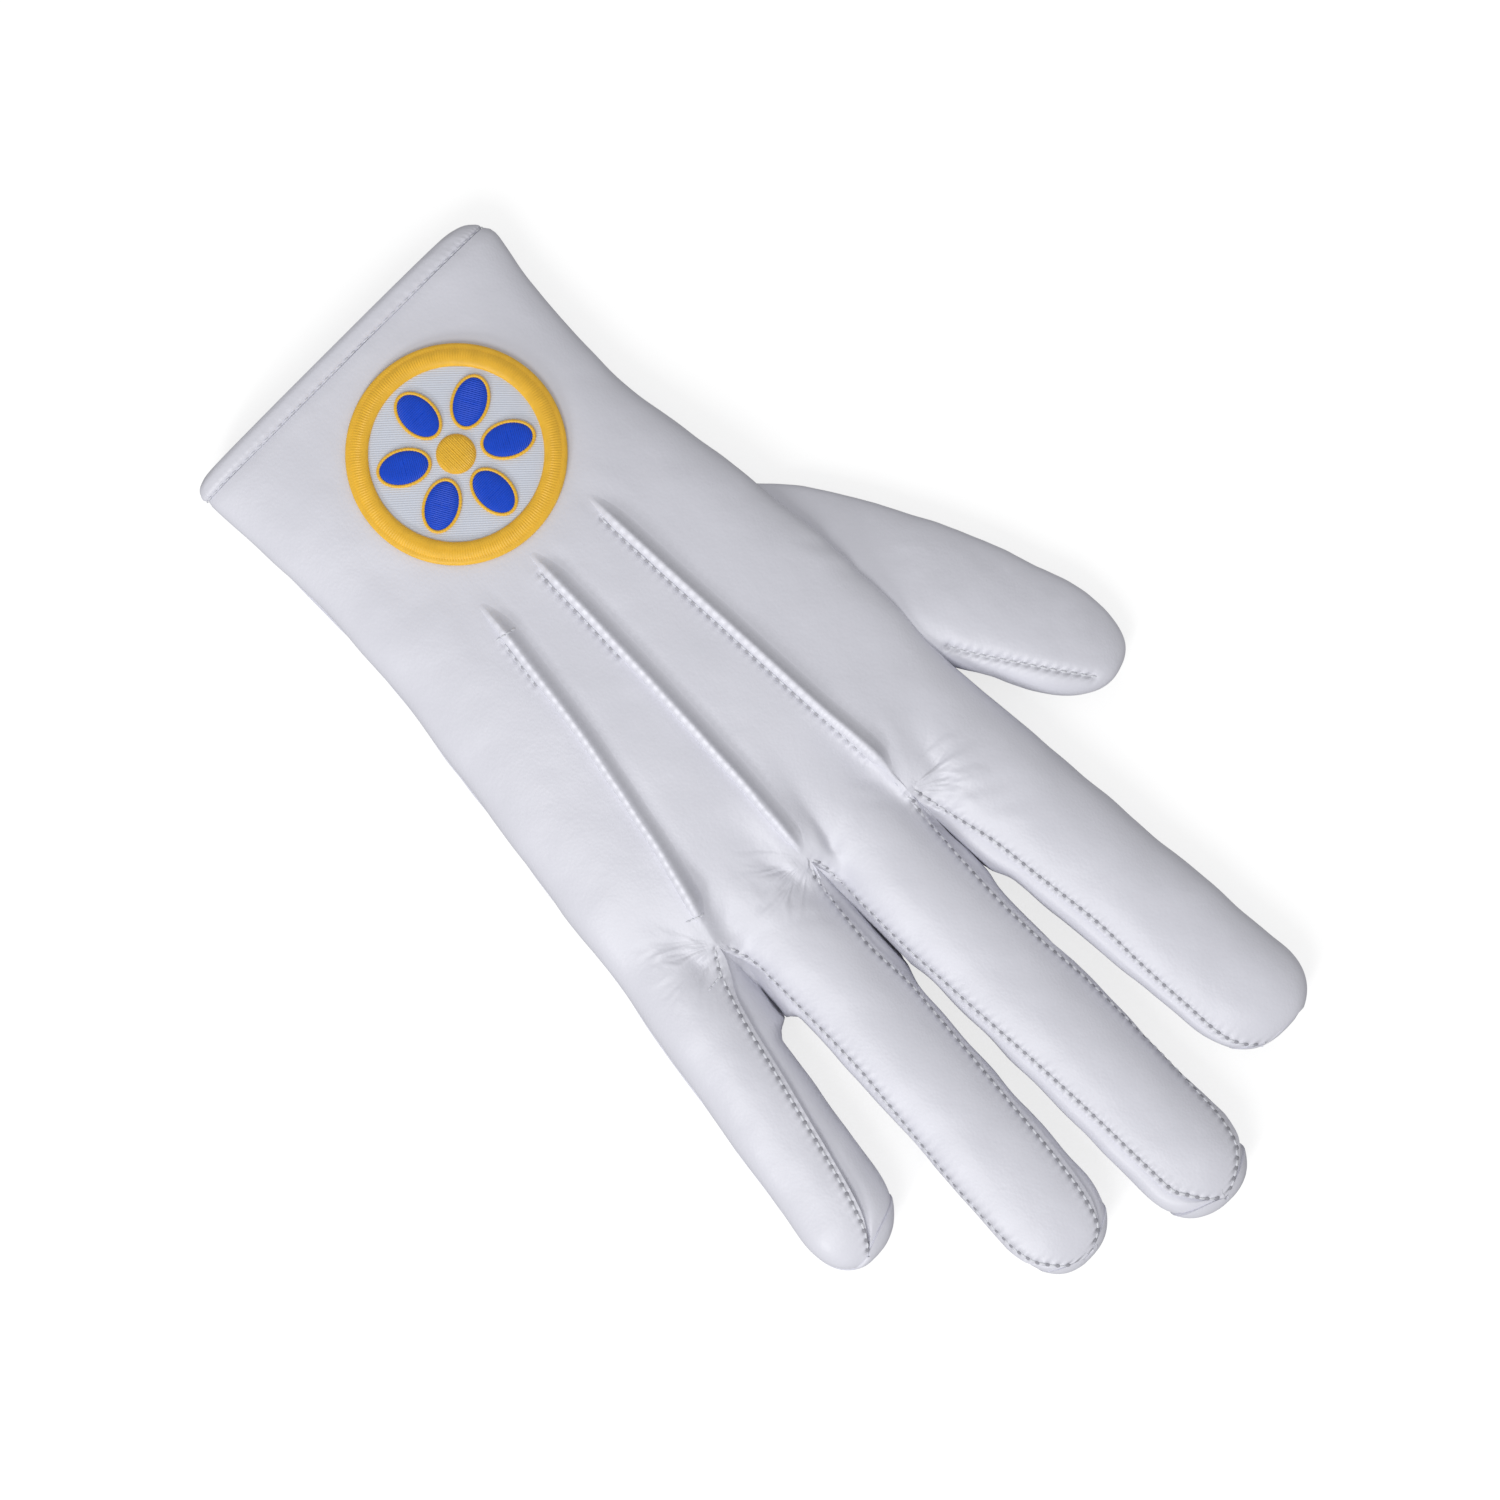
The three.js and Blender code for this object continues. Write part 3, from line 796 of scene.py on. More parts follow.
# Dark grey discs at the needle holes: painted shade standing for the shadow inside each hole.
NEEDLE_HOLE_SHADE = thread_finish("needle_hole_shade", (0.34, 0.34, 0.38), 0.8)
FAINT_HOLE_SHADE = thread_finish("faint_hole_shade", (0.45, 0.45, 0.49), 0.8)
GOLD_THREAD = thread_finish("gold_thread", (0.94, 0.54, 0.045), 0.38)
BLUE_THREAD = thread_finish("blue_thread", (0.004, 0.073, 0.70), 0.45)
CLOTH = cloth_finish()


# Stitched rows, as (y, x). Those of the points lie beside them and those of the palm inside its
# edges, and both are worked out.
FINGER_ROWS = [finger[side] for finger in FINGERS for side in ("left_seam", "right_seam") if finger[side]]
THUMB_ROW = [(134.5, -46.8), (140, -50), (147.5, -55), (155, -60), (160.5, -64)]
POINT_ROW_STARTS = [65.0, 64.0, 69.0]
POINT_ROW_ENDS = [139.0, 88.0, 80.0]
POINT_ROW_BESIDE = 1.75
PALM_ROW_INSIDE = 1.3
PALM_ROW_ENDS = (5.0, 9.0)


def point_row(line, low, high):
    places = [mix(low, high, i / 8) for i in range(9)]
    return [(y, curve_value(line, y) + POINT_ROW_BESIDE) for y in places]


def palm_row(finger, side, slot):
    low, high = slot["palm"] + PALM_ROW_ENDS[0], back_end_y(finger) - PALM_ROW_ENDS[1]
    places = [mix(low, high, i / 6) for i in range(7)]
    edges = [finger_point(finger, y, palm_seam_angle(finger["number"], side, y)).x for y in places]
    return [(y, edge - side * PALM_ROW_INSIDE) for y, edge in zip(places, edges)]


POINT_ROWS = [point_row(*row) for row in zip(POINT_LINES, POINT_ROW_STARTS, POINT_ROW_ENDS)]
PALM_ROWS = [
    palm_row(finger, side, slot)
    for finger in FINGERS
    for side, slot in ((-1, finger["left_slot"]), (1, finger["right_slot"]))
    if slot is not None
]

# Creases in the back's leather: from (x, y) to (x, y), then width and height in millimetres.
CREASES = [
    (-19.5, 149.5, -22.0, 143.0, 1.1, -0.45),
    (-22.0, 143.0, -24.5, 134.0, 1.4, -0.30),
    (-23.5, 152.0, -37.0, 158.0, 1.3, -0.22),
    (-24.0, 156.0, -38.0, 164.5, 1.4, -0.20),
    (-23.0, 149.0, -34.0, 150.5, 1.2, -0.20),
    (-26.0, 161.0, -38.5, 171.0, 1.6, -0.16),
    (-18.0, 147.5, -13.0, 139.0, 1.0, -0.25),
    (-17.0, 149.5, -9.0, 142.0, 1.2, -0.16),
    (6.5, 146.5, 9.5, 137.0, 0.9, -0.32),
    (7.5, 148.0, 14.0, 137.5, 1.0, -0.26),
    (8.5, 149.5, 18.5, 139.5, 1.1, -0.26),
    (9.5, 152.0, 21.0, 143.5, 1.2, -0.20),
    (10.0, 157.0, 17.0, 150.0, 1.2, -0.16),
    (3.0, 144.5, -1.5, 137.0, 1.1, -0.22),
    (2.0, 148.0, -6.5, 143.5, 1.4, -0.14),
    (31.5, 144.0, 36.0, 137.5, 1.2, -0.26),
    (33.0, 149.8, 39.5, 149.6, 0.7, -0.35),
    (29.5, 144.5, 22.5, 140.0, 1.3, -0.22),
    (28.5, 147.0, 20.0, 149.5, 1.3, -0.14),
    (34.5, 146.0, 43.0, 143.0, 1.6, -0.14),
    (-45.0, 104.0, -40.0, 96.0, 1.2, -0.25),
    (-45.5, 112.0, -41.5, 106.0, 1.2, -0.16),
    (-14.0, 56.0, -20.0, 64.0, 2.2, -0.18),
    (3.0, 57.5, -3.0, 66.0, 2.0, -0.15),
    (20.0, 58.0, 24.0, 70.0, 2.4, -0.16),
]
CREASE_REACH = 4.0
CREASE_BANK = {"height": 0.45, "beside": 1.8}

# Where the seams meet between the fingers the leather is drawn in, in millimetres.
SLOT_DIP = {"depth": 1.3, "across": 4.0, "before": 7.0, "after": 15.0}

# The leather's bed beside a raised point, as (place across, width, height) in millimetres.
POINT_BED = [(-0.6, 2.4, 0.20), (-3.4, 1.3, -0.12), (1.9, 0.9, -0.12)]
POINT_BED_REACH = 9.0
POINT_BED_START = (56.0, 66.0)

# The groove beside the hem
HEM_GROOVE = {"depth": 0.35, "width": 0.8}


# Relief of the leather, in millimetres along the normal
def crease_relief(x, y):
    """Soft grooves with low banks on both sides."""
    total = 0.0
    for x0, y0, x1, y1, width, height in CREASES:
        beside = max(min(x0, x1) - x, x - max(x0, x1))
        beyond = max(min(y0, y1) - y, y - max(y0, y1))
        if max(beside, beyond) < CREASE_REACH:
            run = (x1 - x0) ** 2 + (y1 - y0) ** 2
            share = ((x - x0) * (x1 - x0) + (y - y0) * (y1 - y0)) / run
            share = min(1.0, max(0.0, share))
            away = math.hypot(x - mix(x0, x1, share), y - mix(y0, y1, share))
            ends = math.sin(math.pi * mix(0.12, 0.97, share))
            bank = CREASE_BANK["height"] * bell(away - CREASE_BANK["beside"] * width, width)
            total += height * ends * (bell(away, width) - bank)
    return total


def lumps(point, size, height, seed=0.0):
    """Gentle unevenness, in lumps of one size."""
    return height * noise.noise(Vector((point.x / size, point.y / size, point.z / size + seed)))


def patch_mask(point):
    """Nothing rises under the patch."""
    distance = math.hypot(point.x - PATCH_X, point.y - PATCH_Y)
    return smooth(PATCH_RADIUS - 1, PATCH_RADIUS + 7, distance)


def slot_dip(slot, x, y):
    """How deep the leather is drawn in where the seams meet between two fingers."""
    across = (x - slot["x"]) / SLOT_DIP["across"]
    along = y - slot["back"]
    along /= SLOT_DIP["before"] if along < 0 else SLOT_DIP["after"]
    return SLOT_DIP["depth"] * math.exp(-(across**2) - along**2)


def hem_groove(y):
    return HEM_GROOVE["depth"] * bell(y - PANEL_START, HEM_GROOVE["width"])


def back_relief(point):
    x, y = point.x, point.y
    total = lumps(point, 16, 0.55) + lumps(point, 6, 0.14, 7.0)
    for line, slot in zip(POINT_LINES, SLOTS):
        if y < slot["back"] + 6:
            beside = x - curve_value(line, y)
            if abs(beside) < POINT_BED_REACH:
                along = smooth(*POINT_BED_START, y) * smooth(slot["back"] + 2, slot["back"] - 6, y)
                total += along * sum(high * bell(beside - at, wide) for at, wide, high in POINT_BED)
        total -= slot_dip(slot, x, y)
    total += crease_relief(x, y)
    return total * patch_mask(point) - hem_groove(y)


def palm_relief(point):
    return lumps(point, 14, 0.4, 3.0) + lumps(point, 5, 0.1, 9.0) - hem_groove(point.y)


# Back and palm
HAND_ROWS = 118
ROWS_JOIN = 150.0
ROW_SPACING = 0.75
PANEL_COLUMNS = 30
CROWDED = 0.45
NOSE_TUCK = 1.0


def row_y(v, finger_rows, end):
    """Rows are shared by all fingers up to the knuckles, then each finger has its own."""
    row = round(v * (HAND_ROWS + finger_rows))
    if row <= HAND_ROWS:
        return mix(PANEL_START, ROWS_JOIN, row / HAND_ROWS)
    share = (row - HAND_ROWS) / finger_rows
    return mix(ROWS_JOIN, end, 1 - (1 - share) ** 1.3)


def leather_panel(face):
    """The back's leather, or the palm's with the noses that close the fingertips."""
    bm = bmesh.new()
    for finger in FINGERS:
        end = back_end_y(finger)
        finger_rows = round((end - ROWS_JOIN) / ROW_SPACING)

        def point(u, v):
            y = row_y(v, finger_rows, end)
            return panel_point(finger, crowd(u, CROWDED), y, face)

        grid_map(bm, PANEL_COLUMNS, HAND_ROWS + finger_rows, point)
        if face == "palm":
            number = finger["number"]
            left = palm_seam_angle(number, -1, end)
            right = palm_seam_angle(number, 1, end)

            def under_nose(u, v):
                y = mix(end, tip_y(finger), v**0.6)
                return finger_point(finger, y, mix(left, right, crowd(u, CROWDED)))

            def over_nose(u, v):
                y = mix(end - NOSE_TUCK, tip_y(finger), v**0.75)
                edge = math.sin(math.pi * u) ** 0.5
                y = mix(max(y, end), y, edge)
                drop = -NOSE_TUCK * smooth(end + 0.5, end - 0.4, y) * edge
                return finger_point(finger, y, mix(right, left + 2 * math.pi, u), drop)

            grid_map(bm, PANEL_COLUMNS, 7, under_nose)
            grid_map(bm, 14, 9, over_nose)
    merge(bm)
    face_towards(bm, UP if face == "back" else DOWN)
    return bm


AXIS_STEP = 0.5


def thumb_axis():
    """Points down the thumb's middle, with their lean."""
    x, y = THUMB_ROOT
    steps = round(THUMB_LENGTH / AXIS_STEP)
    places = []
    for i in range(steps + 1):
        share = i / steps
        easing = (1 - share) ** THUMB_LEAN["easing"]
        lean = math.radians(mix(THUMB_LEAN["tip"], THUMB_LEAN["root"], easing))
        places.append((x, y, lean))
        x -= AXIS_STEP * math.sin(lean)
        y += AXIS_STEP * math.cos(lean)
    return places


THUMB_AXIS = thumb_axis()


def thumb_station(share):
    at = min(len(THUMB_AXIS) - 1.001, share * (len(THUMB_AXIS) - 1))
    here, there = THUMB_AXIS[int(at)], THUMB_AXIS[int(at) + 1]
    x, y, lean = (mix(a, b, at - int(at)) for a, b in zip(here, there))
    walked = share * THUMB_LENGTH
    at = min(1.0, walked / (THUMB_LENGTH - THUMB_ROUNDING))
    left = left_at_tip(walked, THUMB_LENGTH, THUMB_ROUNDING)
    level = THUMB_THICKNESS / 2
    return {
        "x": x,
        "y": y,
        "lean": lean,
        "half": THUMB_WIDTH * curve_value(THUMB_COLUMNS["width"], at) / 2 * left,
        "top": mix(level, THUMB_THICKNESS * curve_value(THUMB_COLUMNS["thick"], at), left),
        "under": mix(level, 0.0, left),
        "level": level,
    }


def thumb_point(share, angle, offset=0.0):
    station = thumb_station(share)
    flat = {"x": 0.0, "half": station["half"], "top": station["top"], "under": station["under"]}
    across, z = section_point(flat, angle, FINGER_SQUARENESS, offset, station["level"])
    z += THUMB_ROLL * across * max(0.0, math.sin(angle))
    x = station["x"] + across * math.cos(station["lean"])
    y = station["y"] + across * math.sin(station["lean"])
    return Vector((x, y, z))


def in_thumb(point, margin):
    """Whether a point lies inside the thumb's tube, by a margin."""
    best, nearest = min(
        ((point.x - x) ** 2 + (point.y - y) ** 2, i) for i, (x, y, lean) in enumerate(THUMB_AXIS)
    )
    if nearest == 0:
        return False
    station = thumb_station(nearest / (len(THUMB_AXIS) - 1))
    across = math.sqrt(best) / max(0.1, station["half"] - margin)
    reach = station["top"] if point.z > station["level"] else station["under"]
    lift = abs(point.z - station["level"]) / max(0.1, abs(reach - station["level"]) - margin)
    return across**2 + lift**2 < 1


def in_hand(point, margin):
    """Whether a point lies inside the hand, by a margin."""
    station = hand_station(round(point.y, 1))
    level = SIDE_LEVEL + station["lift"]
    across = abs(point.x - station["x"]) / (station["half"] - margin)
    reach = station["top"] if point.z > level else station["under"]
    lift = abs(point.z - level) / max(0.1, abs(reach - level) - margin)
    power = 2 / HAND_SQUARENESS
    return across**power + lift**power < 1


# Where the thumb joins the hand: how deep one lies in the other where its leather is cut away, the
# share of the palm that is flat, and the levels at which the two lie on the floor.
PALM_CUT = 1.6
THUMB_CUT = 1.8
PALM_FLAT = 0.68
NEAR_FLOOR = 2.5
PALM_LEVEL = 0.12
THUMB_LEVEL = 0.04


def over_palm(point):
    """Whether a low point lies where the palm's leather is flat on the floor."""
    station = hand_station(round(point.y, 1))
    return point.z < NEAR_FLOOR and abs(point.x - station["x"]) < PALM_FLAT * station["half"]


def cut_inside(bm, inside, near):
    """Deletes the faces whose every corner lies inside another hollow piece."""
    doomed = [
        face
        for face in bm.faces
        if near(face.verts[0].co) and all(inside(vertex.co) for vertex in face.verts)
    ]
    bmesh.ops.delete(bm, geom=doomed, context="FACES")
    bm.normal_update()


back = leather_panel("back")
displace(back, back_relief)
mark_rows(back, FINGER_ROWS + POINT_ROWS)
mark_gathers(back)
BACK_TREE = BVHTree.FromBMesh(back)
palm = leather_panel("palm")
displace(palm, palm_relief)
lay_down(palm, PALM_LEVEL)
mark_rows(palm, PALM_ROWS)
cut_inside(palm, lambda p: in_thumb(p, PALM_CUT), lambda p: p.x < -15 and 80 < p.y < 150)
PALM_TREE = BVHTree.FromBMesh(palm)
keep(finish(back, "back_leather", WHITE_LEATHER, LEATHER), "leather", "back_panel")
keep(finish(palm, "palm_leather", WHITE_LEATHER, LEATHER), "leather", "palm_panel")


# Strips between the fingers
STRIP_NAMES = [one["name"] + "_" + other["name"] for one, other in zip(FINGERS, FINGERS[1:])]
STRIP_WALL = 0.9
STRIP_INSET = 0.45
STRIP_TUCK = 0.85
STRIP_CLEAR = 0.3


def strip_side(slot_number, side, y, t):
    """A point of a strip on one finger's side: t runs from the back's seam to the palm's."""
    finger = FINGERS[slot_number if side < 0 else slot_number + 1]
    seam_side, u = (1, 1.0) if side < 0 else (-1, 0.0)
    number = finger["number"]
    slot = SLOTS[slot_number]
    turn = 2 * math.pi if seam_side > 0 else 0.0
    inset = STRIP_INSET + STRIP_TUCK * bell(min(t, 1 - t), 0.10)
    start = back_seam_angle(number, seam_side, y)
    stop = palm_seam_angle(number, seam_side, y) - turn
    point = finger_point(finger, y, mix(start, stop, t), -inset)
    y_back = max(y, slot["back"])
    y_palm = max(y, slot["palm"])
    start_back = back_seam_angle(number, seam_side, y_back)
    stop_palm = palm_seam_angle(number, seam_side, y_palm)
    shift_back = panel_point(finger, u, y_back, "back") - finger_point(finger, y_back, start_back)
    shift_palm = panel_point(finger, u, y_palm, "palm") - finger_point(finger, y_palm, stop_palm)
    return point + shift_back * (1 - t) + shift_palm * t


def strip_bm(slot_number):
    """A strip: up one finger's side, through the web and up the next finger's side."""
    slot = SLOTS[slot_number]
    bm = bmesh.new()

    def point(u, v):
        t = crowd(u, 0.3)
        side = -1 if v < 0.5 else 1
        finger = FINGERS[slot_number if side < 0 else slot_number + 1]
        neighbour = FINGERS[slot_number + 1 if side < 0 else slot_number]
        web = mix(slot["back"] + 1.4, slot["palm"] - 0.5, t**0.8)
        y = mix(web, back_end_y(finger) - 0.4, abs(v - 0.5) * 2)
        mine = strip_side(slot_number, side, y, t)
        if y > tip_y(neighbour) - 2:
            return mine
        other = strip_side(slot_number, -side, y, t)
        middle = (mine.x + other.x) / 2
        joined = smooth(0.0, min(6.0, slot["opening"]), y - web)
        clear = max((mine.x - middle) * side, STRIP_CLEAR * joined)
        mine.x = middle + side * clear * joined
        mine.z = mix((mine.z + other.z) / 2, mine.z, joined)
        mine.z -= slot_dip(slot, mine.x, y) * (1 - t)
        return mine

    grid_map(bm, 12, 150, point)
    merge(bm)
    face_towards(bm, Vector((0, 1, 0)))
    displace(bm, lambda p: lumps(p, 8, 0.35, slot_number + 1.0))
    lay_down(bm, PALM_LEVEL)
    return bm


for slot_number, name in enumerate(STRIP_NAMES):
    strip = finish(strip_bm(slot_number), "fourchette_leather_" + name, WHITE_LEATHER, STRIP_WALL)
    keep(strip, "leather", "fourchette_" + name)


# Thumb
THUMB_GROOVE = {"depth": 0.6, "width": 0.9}


def thumb_relief(point):
    """Gentle lumps, and the groove that the thumb's seam lies in."""
    total = lumps(point, 12, 0.4, 5.0) + lumps(point, 4, 0.1, 2.0)
    y = min(THUMB_ROW[-1][0], max(THUMB_ROW[0][0], point.y))
    away = math.hypot((point.x - curve_value(THUMB_ROW, y)) * 0.75, point.y - y)
    if point.z > THUMB_THICKNESS / 2:
        total -= THUMB_GROOVE["depth"] * bell(away, THUMB_GROOVE["width"])
    return total


def thumb_bm():
    bm = closed_form(100, 170, lambda u, v: thumb_point(1 - (1 - v) ** 1.7, 2 * math.pi * u))
    displace(bm, thumb_relief)
    lay_down(bm, THUMB_LEVEL)
    mark_rows(bm, [THUMB_ROW])
    cut_inside(bm, lambda p: in_hand(p, THUMB_CUT) or over_palm(p), lambda p: p.y < 160)
    return bm


thumb = thumb_bm()
THUMB_TREE = BVHTree.FromBMesh(thumb)
keep(finish(thumb, "thumb_leather", WHITE_LEATHER, LEATHER), "leather", "thumb")


# Hem
HEM_END = 4.45
HEM_ROW = 4.1
HEM_ROW_HEIGHT = -0.10
HEM_CORE = -0.9
HEM_INNER = 1.1
HEM_OUTER = 0.30
HEM_PUCKER = 0.08


def hem_bm():
    """The folded hem: a closed loop of leather carried round the cuff."""

    def point(u, v):
        turn = 2 * math.pi * v
        around = 2 * math.pi * u
        y = HEM_END / 2 + (HEM_END / 2 - 0.06) * signed_power(math.cos(turn), 0.7)
        outer = HEM_OUTER - 0.65 * smooth(HEM_END - 1.2, HEM_END, y) - 0.5 * smooth(1.2, 0.0, y)
        outer += HEM_PUCKER * math.sin(u * 2 * math.pi * HEM_STITCHES) * bell(y - 3.6, 0.8)
        rise = signed_power(math.sin(turn), 0.7)
        offset = mix(HEM_CORE, outer, rise) if rise > 0 else HEM_CORE + HEM_INNER * rise
        offset += 0.12 * noise.noise(Vector((u * 40, y / 6, 0)))
        edge = hand_point(y, around, offset)
        return Vector((edge.x, y, max(edge.z, 0.02)))

    return closed_form(320, 30, point)


keep(finish(hem_bm(), "hem_leather", WHITE_LEATHER), "leather", "cuff_hem")


# Raised points on the back
def ground(tree, x, y, above=True):
    """Where a straight line from above, or from below, first meets a piece: point, normal."""
    start = 60.0 if above else -60.0
    hit, normal, face, distance = tree.ray_cast(Vector((x, y, start)), Vector((0, 0, -start)))
    if hit is None:
        return None
    if (normal.z > 0) != above:
        normal = -normal
    return hit, normal


POINT_NAMES = ["index_side", "centre", "little_side"]
POINT_START = 60.0
POINT_ENDS = [144.5, 143.4, 139.5]
RIDGE_SLOPE = 3.0
RIDGE_FACE = 1.6
RIDGE_CRESTS = [1.5, 1.95, 1.85]
RIDGE_TOP_SHARE = 0.7
RIDGE_SUNK = 0.03


def ridge_height(beside, crest):
    """Height of a raised point: a soft slope to the thumb's side and a steep sewn face."""
    if beside < 0:
        return crest * max(0.0, 1 + beside / RIDGE_SLOPE) ** 2.1
    return crest * math.sqrt(max(0.0, 1 - (beside / RIDGE_FACE) ** 2))


def ridge_fade(number, y):
    """A raised point grows out of the leather and ends in it."""
    return smooth(-1.0, 9.0, y - POINT_START) * smooth(-0.4, 5.5, POINT_ENDS[number] - y)


def ridge_bm(number):
    """One raised point: its top follows the back and its flat underside lies in the leather."""
    line = POINT_LINES[number]
    bm = bmesh.new()

    def point(u, v):
        y = mix(POINT_START, POINT_ENDS[number], v)
        taper = ridge_fade(number, y)
        pinch = 1 - 0.07 * math.cos(row_phase(line, y) * 2 * math.pi)
        wander = 0.15 * noise.noise(Vector((number * 5, y / 9, 0)))
        share = u / RIDGE_TOP_SHARE
        if share <= 1:
            beside = mix(-RIDGE_SLOPE, RIDGE_FACE, share**0.8)
            height = ridge_height(beside, RIDGE_CRESTS[number] * pinch) * taper - RIDGE_SUNK
        else:
            share = (u - RIDGE_TOP_SHARE) / (1 - RIDGE_TOP_SHARE)
            beside = mix(RIDGE_FACE, -RIDGE_SLOPE, share)
            height = -RIDGE_SUNK - 0.5 * math.sin(share * math.pi)
        x = curve_value(line, y) + beside * mix(0.5, 1.0, taper) + wander
        base, normal = ground(BACK_TREE, x, y)
        return base + normal * height

    grid_map(bm, 30, 210, point)
    merge(bm)
    bmesh.ops.holes_fill(bm, edges=bm.edges, sides=0)
    bmesh.ops.recalc_face_normals(bm, faces=bm.faces)
    # Painted shade, darkest on the slope that faces away from the key lamp, and a painted highlight on
    # the lit face beside the crest.
    shade = bm.verts.layers.float.new("painted_shade_and_highlight")
    for vertex in bm.verts:
        beside = vertex.co.x - curve_value(line, vertex.co.y)
        dark = smooth(0.1, -0.7, beside) * smooth(-RIDGE_SLOPE, -0.7, beside)
        vertex[shade] = ridge_fade(number, vertex.co.y) * (dark - 0.8 * bell(beside - 0.55, 0.6))
    return bm


RIDGE_TREES = []
for number, name in enumerate(POINT_NAMES):
    ridge = ridge_bm(number)
    RIDGE_TREES.append(BVHTree.FromBMesh(ridge))
    ridge = finish(ridge, "ridge_leather_" + name, WHITE_LEATHER, 0.0, 70.0)
    keep(ridge, "leather", "point_" + name)


# Patch
def patch_point(radius, angle, height):
    return on_back(PATCH_X + radius * math.cos(angle), PATCH_Y + radius * math.sin(angle), height)


def patch_cloth_bm():
    reach = RIM_INNER + 1.2
    return round_sheet(96, 24, lambda u, v: patch_point(reach * v, 2 * math.pi * u, CLOTH_LEVEL))


def rim_bm():
    """The patch's border: a ring of slanting satin threads with a step near its outer edge."""

    def point(u, v):
        turn = 2 * math.pi * v
        radius = mix(RIM_INNER, PATCH_RADIUS, (1 - signed_power(math.cos(turn), 0.8)) / 2)
        top = RIM_TOP - 0.42 * smooth(RIM_STEP - 0.4, RIM_STEP + 0.3, radius)
        top -= 0.22 * bell(radius - RIM_STEP, 0.35)
        rise = math.sin(turn)
        angle = 2 * math.pi * u
        if rise <= 0:
            return patch_point(radius, angle, RIM_FOOT + 0.15 * rise)
        height = RIM_FOOT + signed_power(rise, 0.45) * (top - RIM_FOOT)
        slant = angle + 0.03 * (radius - RIM_INNER)
        return patch_point(radius, angle, height + 0.07 * math.cos(slant * RIM_THREADS))

    return closed_form(RIM_THREADS * 4, 22, point)


def oval_place(centre, turned, along, across, height):
    x = centre[0] + along * math.cos(turned) - across * math.sin(turned)
    y = centre[1] + along * math.sin(turned) + across * math.cos(turned)
    return on_back(x, y, height)


def satin_bm(centre, turned, half_long, half_wide, high, ridge):
    """A raised oval of satin stitch whose threads run across it."""

    def point(u, v):
        along = half_long * v * math.cos(2 * math.pi * u)
        across = half_wide * v * math.sin(2 * math.pi * u)
        height = mix(CLOTH_LEVEL, high, math.sqrt(max(0.0, 1 - v**4)))
        height += ridge * math.cos(along * SATIN_TURNS) * smooth(1.0, 0.85, v)
        return oval_place(centre, turned, along, across, height)

    bm = round_sheet(72, 18, point)
    layer = bm.verts.layers.float.new("thread_across")
    for vertex in bm.verts:
        x, y = vertex.co.x - centre[0], vertex.co.y - centre[1]
        vertex[layer] = x * math.cos(turned) + y * math.sin(turned)
    return bm


def outline_bm(centre, turned, half_long, half_wide):
    """A corded outline round an oval."""

    def point(u, v):
        angle = 2 * math.pi * u
        turn = 2 * math.pi * v
        thick = CORD["radius"] * (1 + 0.10 * math.cos(angle * CORD["twists"]))
        reach = thick * math.cos(turn)
        along = (half_long + reach) * math.cos(angle)
        across = (half_wide + reach) * math.sin(angle)
        return oval_place(centre, turned, along, across, CORD["level"] + thick * math.sin(turn))

    return closed_form(CORD["twists"] * 4, 8, point)


keep(finish(patch_cloth_bm(), "patch_ground", CLOTH, 0.6), "patch_cloth", "patch_cloth")
keep(finish(rim_bm(), "patch_rim", GOLD_THREAD), "gold_thread", "patch_border")
boss = satin_bm((PATCH_X, PATCH_Y), 0.0, BOSS_RADIUS, BOSS_RADIUS, BOSS_TOP, 0.06)
keep(finish(boss, "patch_centre", GOLD_THREAD, 0.5), "gold_thread", "patch_boss")
for petal in range(PETALS):
    turned = 2 * math.pi * (petal + 0.5) / PETALS
    centre = (PATCH_X + PETAL_MIDDLE * math.cos(turned), PATCH_Y + PETAL_MIDDLE * math.sin(turned))
    leaf = satin_bm(centre, turned, PETAL_LENGTH / 2, PETAL_WIDTH / 2, PETAL_TOP, 0.05)
    label = str(petal + 1)
    keep(finish(leaf, "patch_leaf_" + label, BLUE_THREAD, 0.5), "blue_thread", "patch_petal_" + label)
    cord = outline_bm(centre, turned, PETAL_LENGTH / 2, PETAL_WIDTH / 2)
    keep(finish(cord, "patch_outline_" + label, GOLD_THREAD), "gold_thread")


# Stitches
STITCH_THICKNESS = 0.24
BAR_THICKNESS = 0.26
HEM_THICKNESS = 0.15
HOLE_SIZE = (0.42, 0.10, 0.52)


def add_ball(bm, middle, turn, sizes, around, rings):
    matrix = Matrix.Translation(middle) @ turn @ Matrix.Diagonal((*sizes, 1.0))
    bmesh.ops.create_uvsphere(bm, u_segments=around, v_segments=rings, radius=1.0, matrix=matrix)


def stitch_at(thread, hole_shades, spot, normal, along, length, thick=STITCH_THICKNESS):
    """One stitch lying along its row, and a dark disc of painted shade at the needle hole where it
    begins.
    """
    along = (along - normal * along.dot(normal)).normalized()
    turn = Matrix((normal.cross(along), normal, along)).transposed().to_4x4()
    add_ball(thread, spot + normal * 0.05, turn, (thick, thick * 0.85, length * 0.33), 7, 5)
    if hole_shades is not None:
        # A dark disc of painted shade where the needle hole is.
        begin = spot + along * length / 2 + normal * 0.02
        add_ball(hole_shades, begin, turn, HOLE_SIZE, 8, 4)


